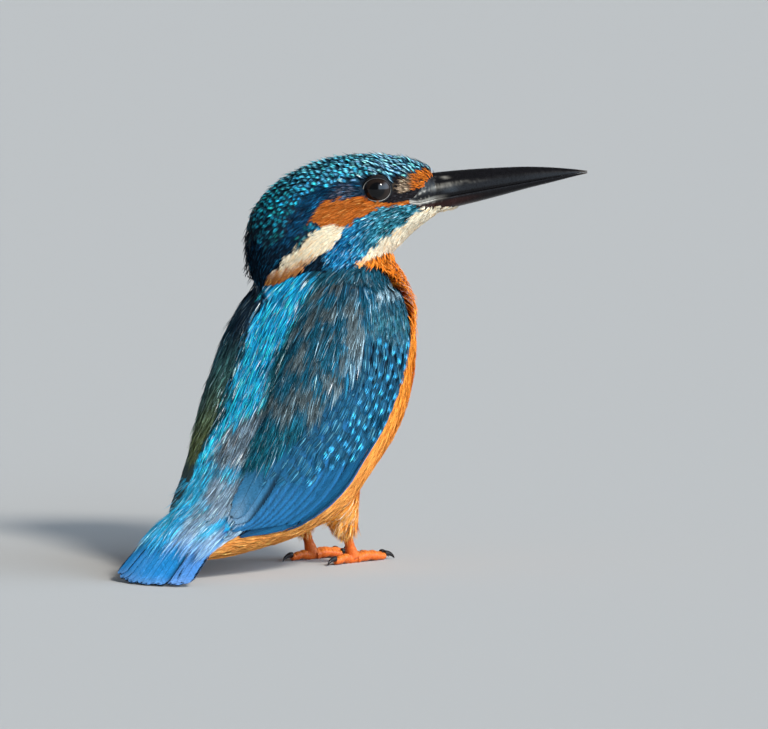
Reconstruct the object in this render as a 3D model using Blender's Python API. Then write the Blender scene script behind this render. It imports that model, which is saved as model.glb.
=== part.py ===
"""Common kingfisher (Alcedo atthis), adult male, standing upright with its head turned to its right.

A life-size still model, about 17 cm from bill tip to tail tip along the body. Each part that a person
would name is one closed solid: head, neck, trunk, tail, wings, bill halves, eyes, legs, feet and claws.

Frame: the bird's body faces +X, its left side is +Y and +Z is up. It stands on the floor z = 0 on the
soles of its feet and the tip of its tail. While it is made, x = y = 0 lies between the ankles, under the
neck, and at the end the whole bird is moved so that this point is under the middle of its box. The head
frame is the body frame turned about the vertical line through the neck, so "ahead" there is the way
the bill points.

Lengths below are in millimetres, and mesh_object() turns them into metres.
"""

import math

import bmesh
import bpy
import numpy as np
from mathutils import Matrix, Vector

MM = 0.001
GAP = 0.3  # clear space between neighbouring solids
HEAD_TURN = math.radians(50)  # to the bird's right
SIDES = {"left": 1, "right": -1}

# Trunk with its folded wings, top to tail: the point on the back's midline (x, z), the point on the
# front's midline (x, z), half the width and the exponent of the superellipse through them.
TRUNK = (
    ((-9.0, 83.0), (10.0, 82.0), 11.5, 2.1),
    ((-12.0, 75.0), (13.2, 73.0), 15.0, 2.2),
    ((-15.5, 67.5), (14.8, 63.5), 19.8, 2.5),
    ((-21.5, 58.5), (15.2, 53.0), 22.3, 2.8),
    ((-26.5, 50.0), (13.5, 43.0), 22.8, 2.9),
    ((-31.0, 42.5), (9.0, 33.0), 22.4, 2.9),
    ((-36.5, 33.5), (2.0, 24.0), 21.2, 2.8),
    ((-42.5, 25.0), (-7.0, 14.0), 19.0, 2.6),
    ((-48.0, 19.0), (-21.0, 7.8), 15.6, 2.4),
    ((-52.4, 15.6), (-35.0, 5.2), 11.6, 2.3),
    ((-56.5, 12.6), (-47.0, 4.0), 8.8, 2.2),
    ((-60.0, 9.9), (-56.0, 4.6), 6.0, 2.0),
)
# Head, nape to bill: distance ahead, top, bottom and half the width.
HEAD = (
    (-21.4, 80.5, 71.0, 3.2),
    (-20.4, 84.4, 66.5, 6.8),
    (-18.2, 88.4, 64.5, 10.0),
    (-14.6, 92.3, 63.5, 12.5),
    (-9.6, 95.7, 63.5, 14.0),
    (-4.0, 98.2, 64.5, 14.7),
    (2.0, 99.6, 66.5, 14.3),
    (8.0, 100.1, 69.5, 12.9),
    (13.5, 99.9, 74.0, 11.2),
    (18.0, 99.1, 78.6, 9.5),
    (22.0, 97.8, 82.4, 7.7),
    (25.5, 96.0, 85.0, 5.9),
    (28.3, 94.6, 86.4, 4.9),
)
HEAD_EXPONENT = 2.25
# Bill: distance ahead, top of the culmen, gape line, bottom and half the width.
BILL = (
    (21.0, 94.8, 88.4, 86.4, 4.3),
    (28.0, 95.6, 89.7, 86.6, 4.2),
    (34.0, 96.1, 90.8, 87.9, 3.6),
    (41.0, 96.5, 92.0, 89.7, 2.9),
    (48.0, 96.7, 93.2, 91.6, 2.2),
    (54.0, 96.5, 94.2, 93.1, 1.5),
    (59.0, 96.1, 95.0, 94.4, 0.85),
    (62.3, 95.7, 95.45, 95.2, 0.3),
)
EYE_AHEAD, EYE_UP, EYE_OUT, EYE_R = 11.0, 91.9, 9.1, 3.7

# Wing: how far down the trunk's stations it lies, its edge beside the back's blue stripe (distance from
# the midline) and its lower front edge (an angle below the widest line of the trunk's section).
WING_FROM, WING_TO = 1.75, 9.35
WING_INNER_Y = ((1.75, 11.5), (2.2, 8.6), (4.0, 7.6), (6.0, 7.2), (7.5, 8.2), (8.6, 9.4), (9.35, 9.6))
WING_FRONT_DEG = (
    (1.75, 9), (2.1, 14), (2.5, 16), (3.2, 14), (4.0, 11.5), (5.2, 9), (6.8, 9), (7.5, 10), (8.1, 10.5),
    (8.6, 8), (9.35, -4),
)
WING_PROUD, WING_THICK = 0.8, 3.2
WING_TIP_PROUD, WING_TIP_THICK = 0.6, 1.1
NECK_CUTS = (69.0, 77.0)  # heights of the cuts below and above the neck, on its middle line

TAIL_ROOT, TAIL_TIP = (-41.5, 19.4), (-70.4, 0.0)
TAIL_HALF_ROOT, TAIL_HALF_TIP = 7.4, 10.8
TAIL_DROOP_LEFT, TAIL_DROOP_RIGHT = 0.7, 2.6
TAIL_THICK, TAIL_ARCH = 1.3, 1.4
TAIL_FEATHERS = 6  # on each side of the middle

FOOT_OUT, FOOT_AHEAD = 6.5, 0.0
THIGH = ((-8.6, 7.6, 21.0, 7.2), (-6.5, 7.4, 15.5, 5.8), (-4.0, 7.0, 11.0, 4.0), (-2.2, 6.7, 7.4, 2.1))
# Toes: name, direction from straight ahead (outwards is positive), length, radius at root and tip.
TOES = (
    ("inner", -24, 8.2, 1.2, 0.9),
    ("middle", -4, 12.0, 1.4, 1.0),
    ("outer", 9, 10.6, 1.3, 0.95),
    ("hind", 176, 7.2, 1.2, 0.9),
)
CLAW_LENGTH, CLAW_R = 3.2, 0.55

COLOURS = {
    "crown": ((0.02, 0.16, 0.22), 0.45),
    "breast": ((0.80, 0.24, 0.03), 0.6),
    "back": ((0.01, 0.33, 0.70), 0.4),
    "wing": ((0.01, 0.14, 0.22), 0.45),
    "tail": ((0.02, 0.17, 0.55), 0.4),
    "bill": ((0.012, 0.011, 0.012), 0.3),
    "eye": ((0.006, 0.005, 0.006), 0.04),
    "foot": ((0.80, 0.16, 0.03), 0.45),
    "claw": ((0.02, 0.015, 0.012), 0.35),
}


# ---------------------------------------------------------------- tools


def clear_scene():
    for obj in list(bpy.data.objects):
        bpy.data.objects.remove(obj, do_unlink=True)


def material(name):
    """A plain Principled material of one of the bird's colours."""
    found = bpy.data.materials.get(name)
    if found:
        return found
    colour, roughness = COLOURS[name]
    made = bpy.data.materials.new(name)
    made.use_nodes = True
    shader = made.node_tree.nodes["Principled BSDF"]
    shader.inputs["Base Color"].default_value = (*colour, 1)
    shader.inputs["Roughness"].default_value = roughness
    shader.inputs["Metallic"].default_value = 0.0
    return made


def smooth_at(stations, values, t):
    """The value at t of a smooth curve through values at the given stations (Catmull-Rom)."""
    stations, values = np.asarray(stations, float), np.asarray(values, float)
    slopes = np.gradient(values, stations, axis=0)
    i = int(np.clip(np.searchsorted(stations, t) - 1, 0, len(stations) - 2))
    span = stations[i + 1] - stations[i]
    f = (t - stations[i]) / span
    ease = 3 * f**2 - 2 * f**3
    return (
        values[i] * (1 - ease)
        + values[i + 1] * ease
        + slopes[i] * span * (f**3 - 2 * f**2 + f)
        + slopes[i + 1] * span * (f**3 - f**2)
    )


def power(value, exponent):
    return math.copysign(abs(value) ** exponent, value)


def mesh_object(name, points, faces, colour):
    """A new object from points in millimetres."""
    mesh = bpy.data.meshes.new(name)
    mesh.from_pydata([Vector(p) * MM for p in points], [], faces)
    mesh.materials.append(material(colour))
    obj = bpy.data.objects.new(name, mesh)
    bpy.context.scene.collection.objects.link(obj)
    face_outwards(mesh)
    mesh.shade_smooth()
    mesh.set_sharp_from_angle(angle=math.radians(50))
    return obj


def face_outwards(mesh):
    bm = bmesh.new()
    bm.from_mesh(mesh)
    bmesh.ops.recalc_face_normals(bm, faces=bm.faces)
    bm.to_mesh(mesh)
    bm.free()


def loft(rings):
    """Points and faces of a closed skin over rings of equal length, with a fan over each end."""
    count = len(rings[0])
    points = [p for ring in rings for p in ring]
    faces = []
    for i in range(len(rings) - 1):
        for j in range(count):
            k = (j + 1) % count
            faces.append((i * count + j, i * count + k, (i + 1) * count + k, (i + 1) * count + j))
    for ring, first, flip in ((rings[0], 0, True), (rings[-1], (len(rings) - 1) * count, False)):
        middle = len(points)
        points.append(tuple(np.mean(np.array(ring), axis=0)))
        for j in range(count):
            k = (j + 1) % count
            edge = (first + k, first + j) if flip else (first + j, first + k)
            faces.append((*edge, middle))
    return points, faces


def plate(outer, inner):
    """Points and faces of a closed plate between two grids of points of the same size."""
    rows, columns = len(outer), len(outer[0])
    points = [p for grid in (outer, inner) for row in grid for p in row]

    def at(side, i, j):
        return side * rows * columns + i * columns + j

    faces = []
    for i in range(rows - 1):
        for j in range(columns - 1):
            faces.append((at(0, i, j), at(0, i, j + 1), at(0, i + 1, j + 1), at(0, i + 1, j)))
            faces.append((at(1, i, j), at(1, i + 1, j), at(1, i + 1, j + 1), at(1, i, j + 1)))
    rim = [(0, j) for j in range(columns)] + [(i, columns - 1) for i in range(1, rows)]
    rim += [(rows - 1, j) for j in range(columns - 2, -1, -1)] + [(i, 0) for i in range(rows - 2, 0, -1)]
    for a, b in zip(rim, rim[1:] + rim[:1]):
        faces.append((at(0, *a), at(1, *a), at(1, *b), at(0, *b)))
    return points, faces


def tube(centres, radii, sides, flat=1.0):
    """Points and faces of a round tube along centres. flat scales its height."""
    rings = []
    centres = [Vector(c) for c in centres]
    for i, centre in enumerate(centres):
        along = centres[min(i + 1, len(centres) - 1)] - centres[max(i - 1, 0)]
        side = along.cross(Vector((0, 0, 1)))
        side = side.normalized() if side.length > 1e-6 * along.length else Vector((0, 1, 0))
        up = side.cross(along).normalized()
        ring = []
        for k in range(sides):
            angle = 2 * math.pi * k / sides
            offset = side * math.cos(angle) + up * math.sin(angle) * flat
            ring.append(tuple(centre + offset * radii[i]))
        rings.append(ring)
    return loft(rings)


def joined(name, shapes, colour):
    """One object holding several closed shapes, each given as points and faces."""
    points, faces = [], []
    for shape_points, shape_faces in shapes:
        first = len(points)
        points += shape_points
        faces += [tuple(first + i for i in face) for face in shape_faces]
    return mesh_object(name, points, faces, colour)


def apply_modifiers(obj):
    graph = bpy.context.evaluated_depsgraph_get()
    mesh = bpy.data.meshes.new_from_object(obj.evaluated_get(graph), depsgraph=graph)
    obj.modifiers.clear()
    obj.data = mesh


def fuse(obj, voxel, rounds, ratio):
    """Melts the shapes in obj into one skin of cells of size voxel (mm), smooths it and thins it out."""
    melt = obj.modifiers.new("melt", "REMESH")
    melt.mode = "VOXEL"
    melt.voxel_size = voxel * MM
    soften = obj.modifiers.new("soften", "SMOOTH")
    soften.iterations = rounds
    soften.factor = 0.5
    thin = obj.modifiers.new("thin", "DECIMATE")
    thin.ratio = ratio
    apply_modifiers(obj)


def cutter(obj):
    obj.hide_render = True
    obj.display_type = "WIRE"
    return obj


def cut_away(obj, *cutters):
    for tool in cutters:
        cut = obj.modifiers.new("cut_" + tool.name, "BOOLEAN")
        cut.operation = "DIFFERENCE"
        cut.solver = "EXACT"
        cut.object = tool


def kept_side(obj, name, colour, cuts):
    """A copy of obj cut by planes, each (point, normal): what lies against each normal stays."""
    bm = bmesh.new()
    bm.from_mesh(obj.data)
    for point, normal in cuts:
        every = bm.verts[:] + bm.edges[:] + bm.faces[:]
        found = bmesh.ops.bisect_plane(
            bm, geom=every, plane_co=Vector(point) * MM, plane_no=normal, clear_outer=True, dist=1e-7
        )
        rim = [e for e in found["geom_cut"] if isinstance(e, bmesh.types.BMEdge)]
        bmesh.ops.holes_fill(bm, edges=rim, sides=0)
    bmesh.ops.triangulate(bm, faces=[f for f in bm.faces if len(f.verts) > 4])
    bmesh.ops.recalc_face_normals(bm, faces=bm.faces)
    mesh = bpy.data.meshes.new(name)
    bm.to_mesh(mesh)
    bm.free()
    mesh.materials.clear()
    mesh.materials.append(material(colour))
    made = bpy.data.objects.new(name, mesh)
    bpy.context.scene.collection.objects.link(made)
    mesh.shade_smooth()
    mesh.set_sharp_from_angle(angle=math.radians(50))
    return made


# ---------------------------------------------------------------- head, neck and trunk


def trunk_point(station, angle, proud=0.0):
    """A point on the trunk's skin: angle 90 degrees is the back, 0 the left side and -90 the front."""
    numbers = range(len(TRUNK))
    back = smooth_at(numbers, [row[0] for row in TRUNK], station)
    front = smooth_at(numbers, [row[1] for row in TRUNK], station)
    half_width = float(smooth_at(numbers, [row[2] for row in TRUNK], station)) + proud
    exponent = float(smooth_at(numbers, [row[3] for row in TRUNK], station))
    middle, reach = (back + front) / 2, (back - front) / 2
    reach = reach * (1 + proud / np.linalg.norm(reach))
    across = power(math.cos(angle), 2 / exponent) * half_width
    deep = power(math.sin(angle), 2 / exponent)
    x, z = middle + reach * deep
    return (x, across, z)


def head_to_body(point):
    """A point of the head frame in the body frame."""
    return tuple(Matrix.Rotation(-HEAD_TURN, 3, "Z") @ Vector(point))


def head_rings(sides=28, steps=30):
    ahead = [row[0] for row in HEAD]
    rings = []
    for x in np.linspace(ahead[0], ahead[-1], steps):
        top, bottom, half = smooth_at(ahead, [row[1:] for row in HEAD], x)
        middle, tall = (top + bottom) / 2, (top - bottom) / 2
        ring = []
        for k in range(sides):
            angle = 2 * math.pi * k / sides
            y = power(math.cos(angle), 2 / HEAD_EXPONENT) * half
            z = middle + power(math.sin(angle), 2 / HEAD_EXPONENT) * tall
            ring.append(head_to_body((x, y, z)))
        rings.append(ring)
    return rings


def trunk_rings(sides=36, steps=36):
    stations = np.linspace(0, len(TRUNK) - 1, steps)
    return [[trunk_point(s, 2 * math.pi * k / sides) for k in range(sides)] for s in stations]


def make_flesh():
    """Head, neck and trunk as one skin, before it is parted."""
    flesh = joined("flesh", [loft(trunk_rings()), loft(head_rings())], "breast")
    fuse(flesh, voxel=1.0, rounds=5, ratio=0.04)
    return flesh


def make_head_neck_trunk(flesh, tools):
    tilt = Vector((0.22, 0, 1)).normalized()
    low, high = NECK_CUTS

    def plane(height, shift, up):
        return (Vector((0, 0, height)) + tilt * shift, tilt * up)

    head = kept_side(flesh, "head", "crown", [plane(high, GAP / 2, -1)])
    neck = kept_side(flesh, "neck", "breast", [plane(high, -GAP / 2, 1), plane(low, GAP / 2, -1)])
    trunk = kept_side(flesh, "trunk", "breast", [plane(low, -GAP / 2, 1)])
    cut_away(head, tools["bill"], tools["eye_left"], tools["eye_right"])
    cut_away(neck, tools["wing_left"], tools["wing_right"])
    cut_away(
        trunk, tools["wing_left"], tools["wing_right"], tools["tail"], tools["thigh_left"], tools["thigh_right"]
    )


# ---------------------------------------------------------------- bill and eyes


def bill_half(lower, clearance=0.0, sides=8):
    """Rings of the upper or the lower half, with its flat side along the gape line."""
    ahead = [row[0] for row in BILL]
    rings = []
    for x in np.linspace(ahead[0], ahead[-1], 12):
        top, gape, bottom, half = smooth_at(ahead, [row[1:] for row in BILL], x)
        edge = gape + (-GAP / 2 if lower else GAP / 2)
        far = (bottom if lower else top) - edge
        ring = []
        for k in range(sides + 1):
            angle = math.pi * k / sides
            y = math.cos(angle) * (half + clearance)
            rise = math.sin(angle) ** 0.85 * (far + math.copysign(clearance, far))
            ring.append(head_to_body((x, y, edge + rise)))
        rings.append(ring)
    return rings


def make_bill():
    mesh_object("bill_upper", *loft(bill_half(False)), "bill")
    mesh_object("bill_lower", *loft(bill_half(True)), "bill")


def bill_tool():
    """The whole bill and the clear space round it, as a hidden cutter."""
    rings = []
    for upper, lower in zip(bill_half(False, GAP), bill_half(True, GAP)):
        rings.append(upper + lower[-2:0:-1])
    return cutter(mesh_object("tool_bill", *loft(rings), "bill"))


def eye_ball(name, side, radius):
    centre = Vector(head_to_body((EYE_AHEAD, side * EYE_OUT, EYE_UP)))
    bm = bmesh.new()
    bmesh.ops.create_uvsphere(bm, u_segments=16, v_segments=10, radius=radius * MM)
    turn = Vector(head_to_body((0, side, 0))).to_track_quat("Z", "Y")
    bmesh.ops.transform(bm, matrix=Matrix.Translation(centre * MM) @ turn.to_matrix().to_4x4(), verts=bm.verts)
    mesh = bpy.data.meshes.new(name)
    bm.to_mesh(mesh)
    bm.free()
    mesh.materials.append(material("eye"))
    mesh.shade_smooth()
    obj = bpy.data.objects.new(name, mesh)
    bpy.context.scene.collection.objects.link(obj)
    return obj


# ---------------------------------------------------------------- wings


def wing_grid(side, proud_at, rows=18, columns=8, grow=0.0):
    """Points over one folded wing. proud_at(along, across) is the distance from the trunk's skin."""
    grid = []
    for i in range(rows):
        along = i / (rows - 1)
        station = WING_FROM - grow / 9 + (WING_TO - WING_FROM + 2 * grow / 9) * along
        inner_y = float(smooth_at(*zip(*WING_INNER_Y), station))
        front = math.radians(float(smooth_at(*zip(*WING_FRONT_DEG), station)))
        half_width = trunk_point(station, 0)[1]
        exponent = float(smooth_at(range(len(TRUNK)), [row[3] for row in TRUNK], station))
        back = math.acos(min(1.0, inner_y / half_width) ** (exponent / 2))
        margin = grow / half_width
        row = []
        for j in range(columns):
            across = j / (columns - 1)
            angle = (back + margin) * (1 - across) - (front + margin) * across
            x, y, z = trunk_point(station, angle, proud_at(along, across))
            row.append((x, side * y, z))
        grid.append(row)
    return grid


def wing_faces(side, clearance=0.0):
    def outside(along, across):
        return WING_PROUD + (WING_TIP_PROUD - WING_PROUD) * along**2 + 8 * clearance

    def inside(along, across):
        thick = WING_THICK + (WING_TIP_THICK - WING_THICK) * along**1.5
        edge = min(across, 1 - across, 0.22) / 0.22
        end = min(along, 0.12) / 0.12
        fullness = (0.32 + 0.68 * math.sin(edge * math.pi / 2)) * (0.35 + 0.65 * end)
        return WING_PROUD - thick * fullness - clearance

    return plate(wing_grid(side, outside, grow=clearance), wing_grid(side, inside, grow=clearance))


def make_wing(name, side):
    return mesh_object("wing_" + name, *wing_faces(side), "wing")


# ---------------------------------------------------------------- tail


def tail_faces(clearance=0.0, rows=9, per_feather=2):
    """A closed fan of stiff feathers, highest along its middle. Its scalloped tip lies flat on the floor."""
    columns = 2 * TAIL_FEATHERS * per_feather
    root, tip = Vector((TAIL_ROOT[0], 0, TAIL_ROOT[1])), Vector((TAIL_TIP[0], 0, TAIL_TIP[1]))
    up = (tip - root).cross(Vector((0, -1, 0))).normalized()
    up = up if up.z > 0 else -up
    grids = ([], [])
    for along in np.append(np.linspace(0, 0.985, rows - 1), 1.0):
        rows_now = ([], [])
        for j in range(columns + 1):
            across = 2 * j / columns - 1
            in_feather = (abs(across) * TAIL_FEATHERS) % 1.0
            scallop = 0.05 * (2 * in_feather - 1) ** 2
            reach = along * (1 - 0.10 * across**2 - scallop)
            half = TAIL_HALF_ROOT + (TAIL_HALF_TIP - TAIL_HALF_ROOT) * reach**0.8 + clearance
            middle = root.lerp(tip, reach) + up * TAIL_ARCH * math.sin(math.pi * reach)
            droop = TAIL_DROOP_LEFT if across > 0 else TAIL_DROOP_RIGHT
            drop = droop * across**2 * (1 - 0.65 * reach)
            thick = TAIL_THICK * (1 - 0.3 * reach) / 2 + clearance
            for grid_row, sign in zip(rows_now, (1, -1)):
                p = middle + Vector((0, across * half, 0)) - Vector((0, 0, drop)) + up * sign * thick
                grid_row.append((p.x, p.y, max(p.z, 0.0)))
        grids[0].append(rows_now[0])
        grids[1].append(rows_now[1])
    return plate(*grids)


# ---------------------------------------------------------------- legs, feet and claws


def thigh_faces(side, clearance=0.0):
    centres = [(x, side * y, z - clearance * (i == len(THIGH) - 1)) for i, (x, y, z, r) in enumerate(THIGH)]
    radii = [r + clearance for x, y, z, r in THIGH]
    steps = np.linspace(0, len(THIGH) - 1, 9)
    numbers = range(len(THIGH))
    line = [tuple(smooth_at(numbers, centres, s)) for s in steps]
    return tube(line, [float(smooth_at(numbers, radii, s)) for s in steps], 18)


def toe_line(side, turn_deg, length, steps=7):
    """Points from the ankle to the tip of a toe that lies along the floor, knuckles a little raised."""
    turn = math.radians(turn_deg) * side
    points = []
    for i in range(steps):
        f = i / (steps - 1)
        height = 0.95 + 0.55 * math.sin(math.pi * min(1.0, f * 1.15)) * (1 - 0.5 * f)
        reach = 1.0 + f * (length - 1.0)
        points.append(
            (
                FOOT_AHEAD + math.cos(turn) * reach,
                side * FOOT_OUT + math.sin(turn) * reach,
                height,
            )
        )
    return points


def make_foot(name, side):
    """Ankle and toes in one skin, its soles cut flat at the floor."""
    ankle_top = (THIGH[-1][0], side * THIGH[-1][1], THIGH[-1][2] - GAP)
    ankle = (FOOT_AHEAD, side * FOOT_OUT, 1.5)
    line = [tuple(Vector(ankle_top).lerp(Vector(ankle), f)) for f in np.linspace(0, 1, 5)]
    shapes = [tube(line, (1.35, 1.2, 1.2, 1.5, 1.8), 14)]
    for _, turn_deg, length, root, tip in TOES:
        centres = toe_line(side, turn_deg, length)
        radii = []
        for f in np.linspace(0, 1, len(centres)):
            radii.append((root + (tip - root) * f) * (1 + 0.09 * math.cos(6 * math.pi * f)))
        radii[-1] *= 0.7
        shapes.append(tube(centres, radii, 12))
    whole = joined("whole_foot_" + name, shapes, "foot")
    fuse(whole, voxel=0.3, rounds=3, ratio=0.055)
    kept_side(whole, "foot_" + name, "foot", [((0, 0, 0), Vector((0, 0, -1)))])
    bpy.data.objects.remove(whole, do_unlink=True)


def make_claws(name, side):
    for toe, turn_deg, length, _, tip in TOES:
        turn = math.radians(turn_deg) * side
        end = Vector(toe_line(side, turn_deg, length)[-1])
        along = Vector((math.cos(turn), math.sin(turn), 0))
        start = end + along * (tip * 0.25 + GAP)
        centres, radii = [], []
        for i in range(6):
            f = i / 5
            bend = f * math.radians(62)
            reach = CLAW_LENGTH * math.sin(bend) / math.radians(62)
            drop = CLAW_LENGTH * (1 - math.cos(bend)) / math.radians(62)
            centres.append(tuple(start + along * reach + Vector((0, 0, 0.62 - 0.86 * drop))))
            radii.append(CLAW_R * (1 - 0.86 * f))
        mesh_object(f"claw_{name}_{toe}", *tube(centres, radii, 8), "claw")


# ---------------------------------------------------------------- the whole bird


def make_tools():
    """Hidden cutters: each neighbour of the skin, with the clear space round it."""
    tools = {"bill": bill_tool()}
    tools["tail"] = cutter(mesh_object("tool_tail", *tail_faces(GAP), "tail"))
    for name, side in SIDES.items():
        tools["eye_" + name] = cutter(eye_ball("tool_eye_" + name, side, EYE_R + GAP))
        tools["wing_" + name] = cutter(mesh_object("tool_wing_" + name, *wing_faces(side, GAP), "wing"))
        tools["thigh_" + name] = cutter(mesh_object("tool_thigh_" + name, *thigh_faces(side, GAP), "foot"))
    return tools


def put_origin_under_middle():
    """Moves every mesh so that the origin lies on the floor, under the middle of the bird's box."""
    meshes = [obj.data for obj in bpy.data.objects]
    solid = [obj.data for obj in bpy.data.objects if not obj.hide_render]
    points = np.array([vertex.co for mesh in solid for vertex in mesh.vertices])
    low, high = points.min(axis=0), points.max(axis=0)
    shift = Vector((-(low[0] + high[0]) / 2, -(low[1] + high[1]) / 2, -low[2]))
    for mesh in meshes:
        mesh.transform(Matrix.Translation(shift))


def main():
    clear_scene()
    flesh = make_flesh()
    make_head_neck_trunk(flesh, make_tools())
    bpy.data.objects.remove(flesh, do_unlink=True)
    make_bill()
    mesh_object("tail", *tail_faces(), "tail")
    for name, side in SIDES.items():
        eye_ball("eye_" + name, side, EYE_R)
        make_wing(name, side)
        mesh_object("leg_" + name, *thigh_faces(side), "breast")
        make_foot(name, side)
        make_claws(name, side)
    put_origin_under_middle()


main()
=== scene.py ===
"""The looks of the common kingfisher: skin, feathers, bill, eyes and feet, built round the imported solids.

Lengths are in millimetres until a mesh is made. Points are taken from ORIGIN, on the floor under the
neck. Two frames are used: the body's (x ahead, y to its left, z up) and the head's, turned about z with
the head, whose axes HX (the way the bill points) and HY (its left) come from the solids of the eyes.
"""

import math

import bmesh
import bpy
import numpy as np
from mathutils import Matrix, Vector, noise
from mathutils.bvhtree import BVHTree
from mathutils.kdtree import KDTree


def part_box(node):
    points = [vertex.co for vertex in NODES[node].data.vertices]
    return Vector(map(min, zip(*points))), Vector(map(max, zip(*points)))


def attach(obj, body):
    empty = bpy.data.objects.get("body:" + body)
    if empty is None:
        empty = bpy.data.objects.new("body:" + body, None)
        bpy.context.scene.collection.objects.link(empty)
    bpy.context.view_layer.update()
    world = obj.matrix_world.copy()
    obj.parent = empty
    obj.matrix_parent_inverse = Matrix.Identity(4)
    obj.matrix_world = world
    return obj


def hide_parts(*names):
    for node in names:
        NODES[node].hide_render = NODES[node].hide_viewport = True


MM = 0.001
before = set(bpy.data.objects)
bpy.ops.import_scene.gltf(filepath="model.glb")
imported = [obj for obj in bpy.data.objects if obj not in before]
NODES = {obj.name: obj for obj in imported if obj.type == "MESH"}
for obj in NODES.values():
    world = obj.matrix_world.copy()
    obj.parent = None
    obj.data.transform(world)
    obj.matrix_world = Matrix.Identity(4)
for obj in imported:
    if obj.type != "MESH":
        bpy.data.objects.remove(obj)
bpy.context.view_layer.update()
UP = np.array([0.0, 0.0, 1.0])


def unit(v):
    v = np.asarray(v, float)
    return v / np.maximum(np.linalg.norm(v, axis=-1, keepdims=True), 1e-12)


def middle_of(node):
    low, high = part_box(node)
    return np.array((low + high) / 2) / MM


EYE_AHEAD = 11.0  # of the head's turning point
_left, _right = middle_of("eye_left"), middle_of("eye_right")
HY = unit((_left - _right) * (1, 1, 0))
HX = np.array([HY[1], -HY[0], 0.0])
ORIGIN = ((_left + _right) / 2 - HX * EYE_AHEAD) * (1, 1, 0)
HEAD = np.array([HX, HY, UP])
EYE_UP, EYE_OUT = _left[2], float(np.linalg.norm((_left - _right)[:2]) / 2)
EYE_R = 3.7

# The trunk's stations, as in the solids: back (x, z), front (x, z), half the width, exponent.
TRUNK = (
    ((-9.0, 83.0), (10.0, 82.0), 11.5, 2.1),
    ((-12.0, 75.0), (13.2, 73.0), 15.0, 2.2),
    ((-15.5, 67.5), (14.8, 63.5), 19.8, 2.5),
    ((-21.5, 58.5), (15.2, 53.0), 22.3, 2.8),
    ((-26.5, 50.0), (13.5, 43.0), 22.8, 2.9),
    ((-31.0, 42.5), (9.0, 33.0), 22.4, 2.9),
    ((-36.5, 33.5), (2.0, 24.0), 21.2, 2.8),
    ((-42.5, 25.0), (-7.0, 14.0), 19.0, 2.6),
    ((-48.0, 19.0), (-21.0, 7.8), 15.6, 2.4),
    ((-52.4, 15.6), (-35.0, 5.2), 11.6, 2.3),
    ((-56.5, 12.6), (-47.0, 4.0), 8.8, 2.2),
    ((-60.0, 9.9), (-56.0, 4.6), 6.0, 2.0),
)
BILL = (  # distance ahead, top of the culmen, gape line, bottom and half the width
    (21.0, 94.8, 88.4, 86.4, 4.3),
    (28.0, 95.6, 89.7, 86.6, 4.2),
    (34.0, 96.1, 90.8, 87.9, 3.6),
    (41.0, 96.5, 92.0, 89.7, 2.9),
    (48.0, 96.7, 93.2, 91.6, 2.2),
    (54.0, 96.5, 94.2, 93.1, 1.5),
    (59.0, 96.1, 95.0, 94.4, 0.85),
    (62.3, 95.7, 95.45, 95.2, 0.3),
)
TOES = (  # direction from straight ahead (outwards is positive), length, radius at root and tip
    (-24, 8.2, 1.2, 0.9),
    (-4, 12.0, 1.4, 1.0),
    (9, 10.6, 1.3, 0.95),
    (176, 7.2, 1.2, 0.9),
)
FOOT_OUT = 6.5


def curve(stations, values, t):
    """Values at t, an array, of a smooth curve through values at the stations."""
    stations, values, t = np.asarray(stations, float), np.asarray(values, float), np.asarray(t, float)
    slopes = np.gradient(values, stations, axis=0)
    i = np.clip(np.searchsorted(stations, t) - 1, 0, len(stations) - 2)
    span = stations[i + 1] - stations[i]
    f = (t - stations[i]) / span
    ease = 3 * f**2 - 2 * f**3
    if values.ndim > 1:
        f, span, ease = f[..., None], span[..., None], ease[..., None]
    bend = slopes[i] * span * (f**3 - 2 * f**2 + f) + slopes[i + 1] * span * (f**3 - f**2)
    return values[i] * (1 - ease) + values[i + 1] * ease + bend


def smooth(low, high, x):
    f = np.clip((np.asarray(x, float) - low) / (high - low), 0, 1)
    return f * f * (3 - 2 * f)


def mix(a, b, f):
    return np.asarray(a) * (1 - f) + np.asarray(b) * f


def patches(points, size, seed):
    """Smooth noise between 0 and 1 over the given points."""
    return np.array([noise.noise(Vector(p / size + seed * 17.3)) for p in points]) * 0.5 + 0.5


def signed_power(x, e):
    return np.sign(x) * np.abs(x) ** e


def trunk_points(station, degrees):
    """Points on the trunk's solid: 90 degrees is the back, 0 the left side and -90 the front."""
    back, front, half, exponent = (curve(np.arange(len(TRUNK)), column, station) for column in zip(*TRUNK))
    angle = np.radians(degrees)
    across = signed_power(np.cos(angle), 2 / exponent) * half
    deep = signed_power(np.sin(angle), 2 / exponent)[..., None]
    xz = (back + front) / 2 + (back - front) / 2 * deep
    return np.stack([xz[..., 0], across, xz[..., 1]], -1)


# ---------------------------------------------------------------- meshes and materials


def to_scene(points):
    return (np.asarray(points, float) + ORIGIN) * MM


def linked(name, data):
    """A new object in the scene."""
    obj = bpy.data.objects.new(name, data)
    bpy.context.scene.collection.objects.link(obj)
    return obj


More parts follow.
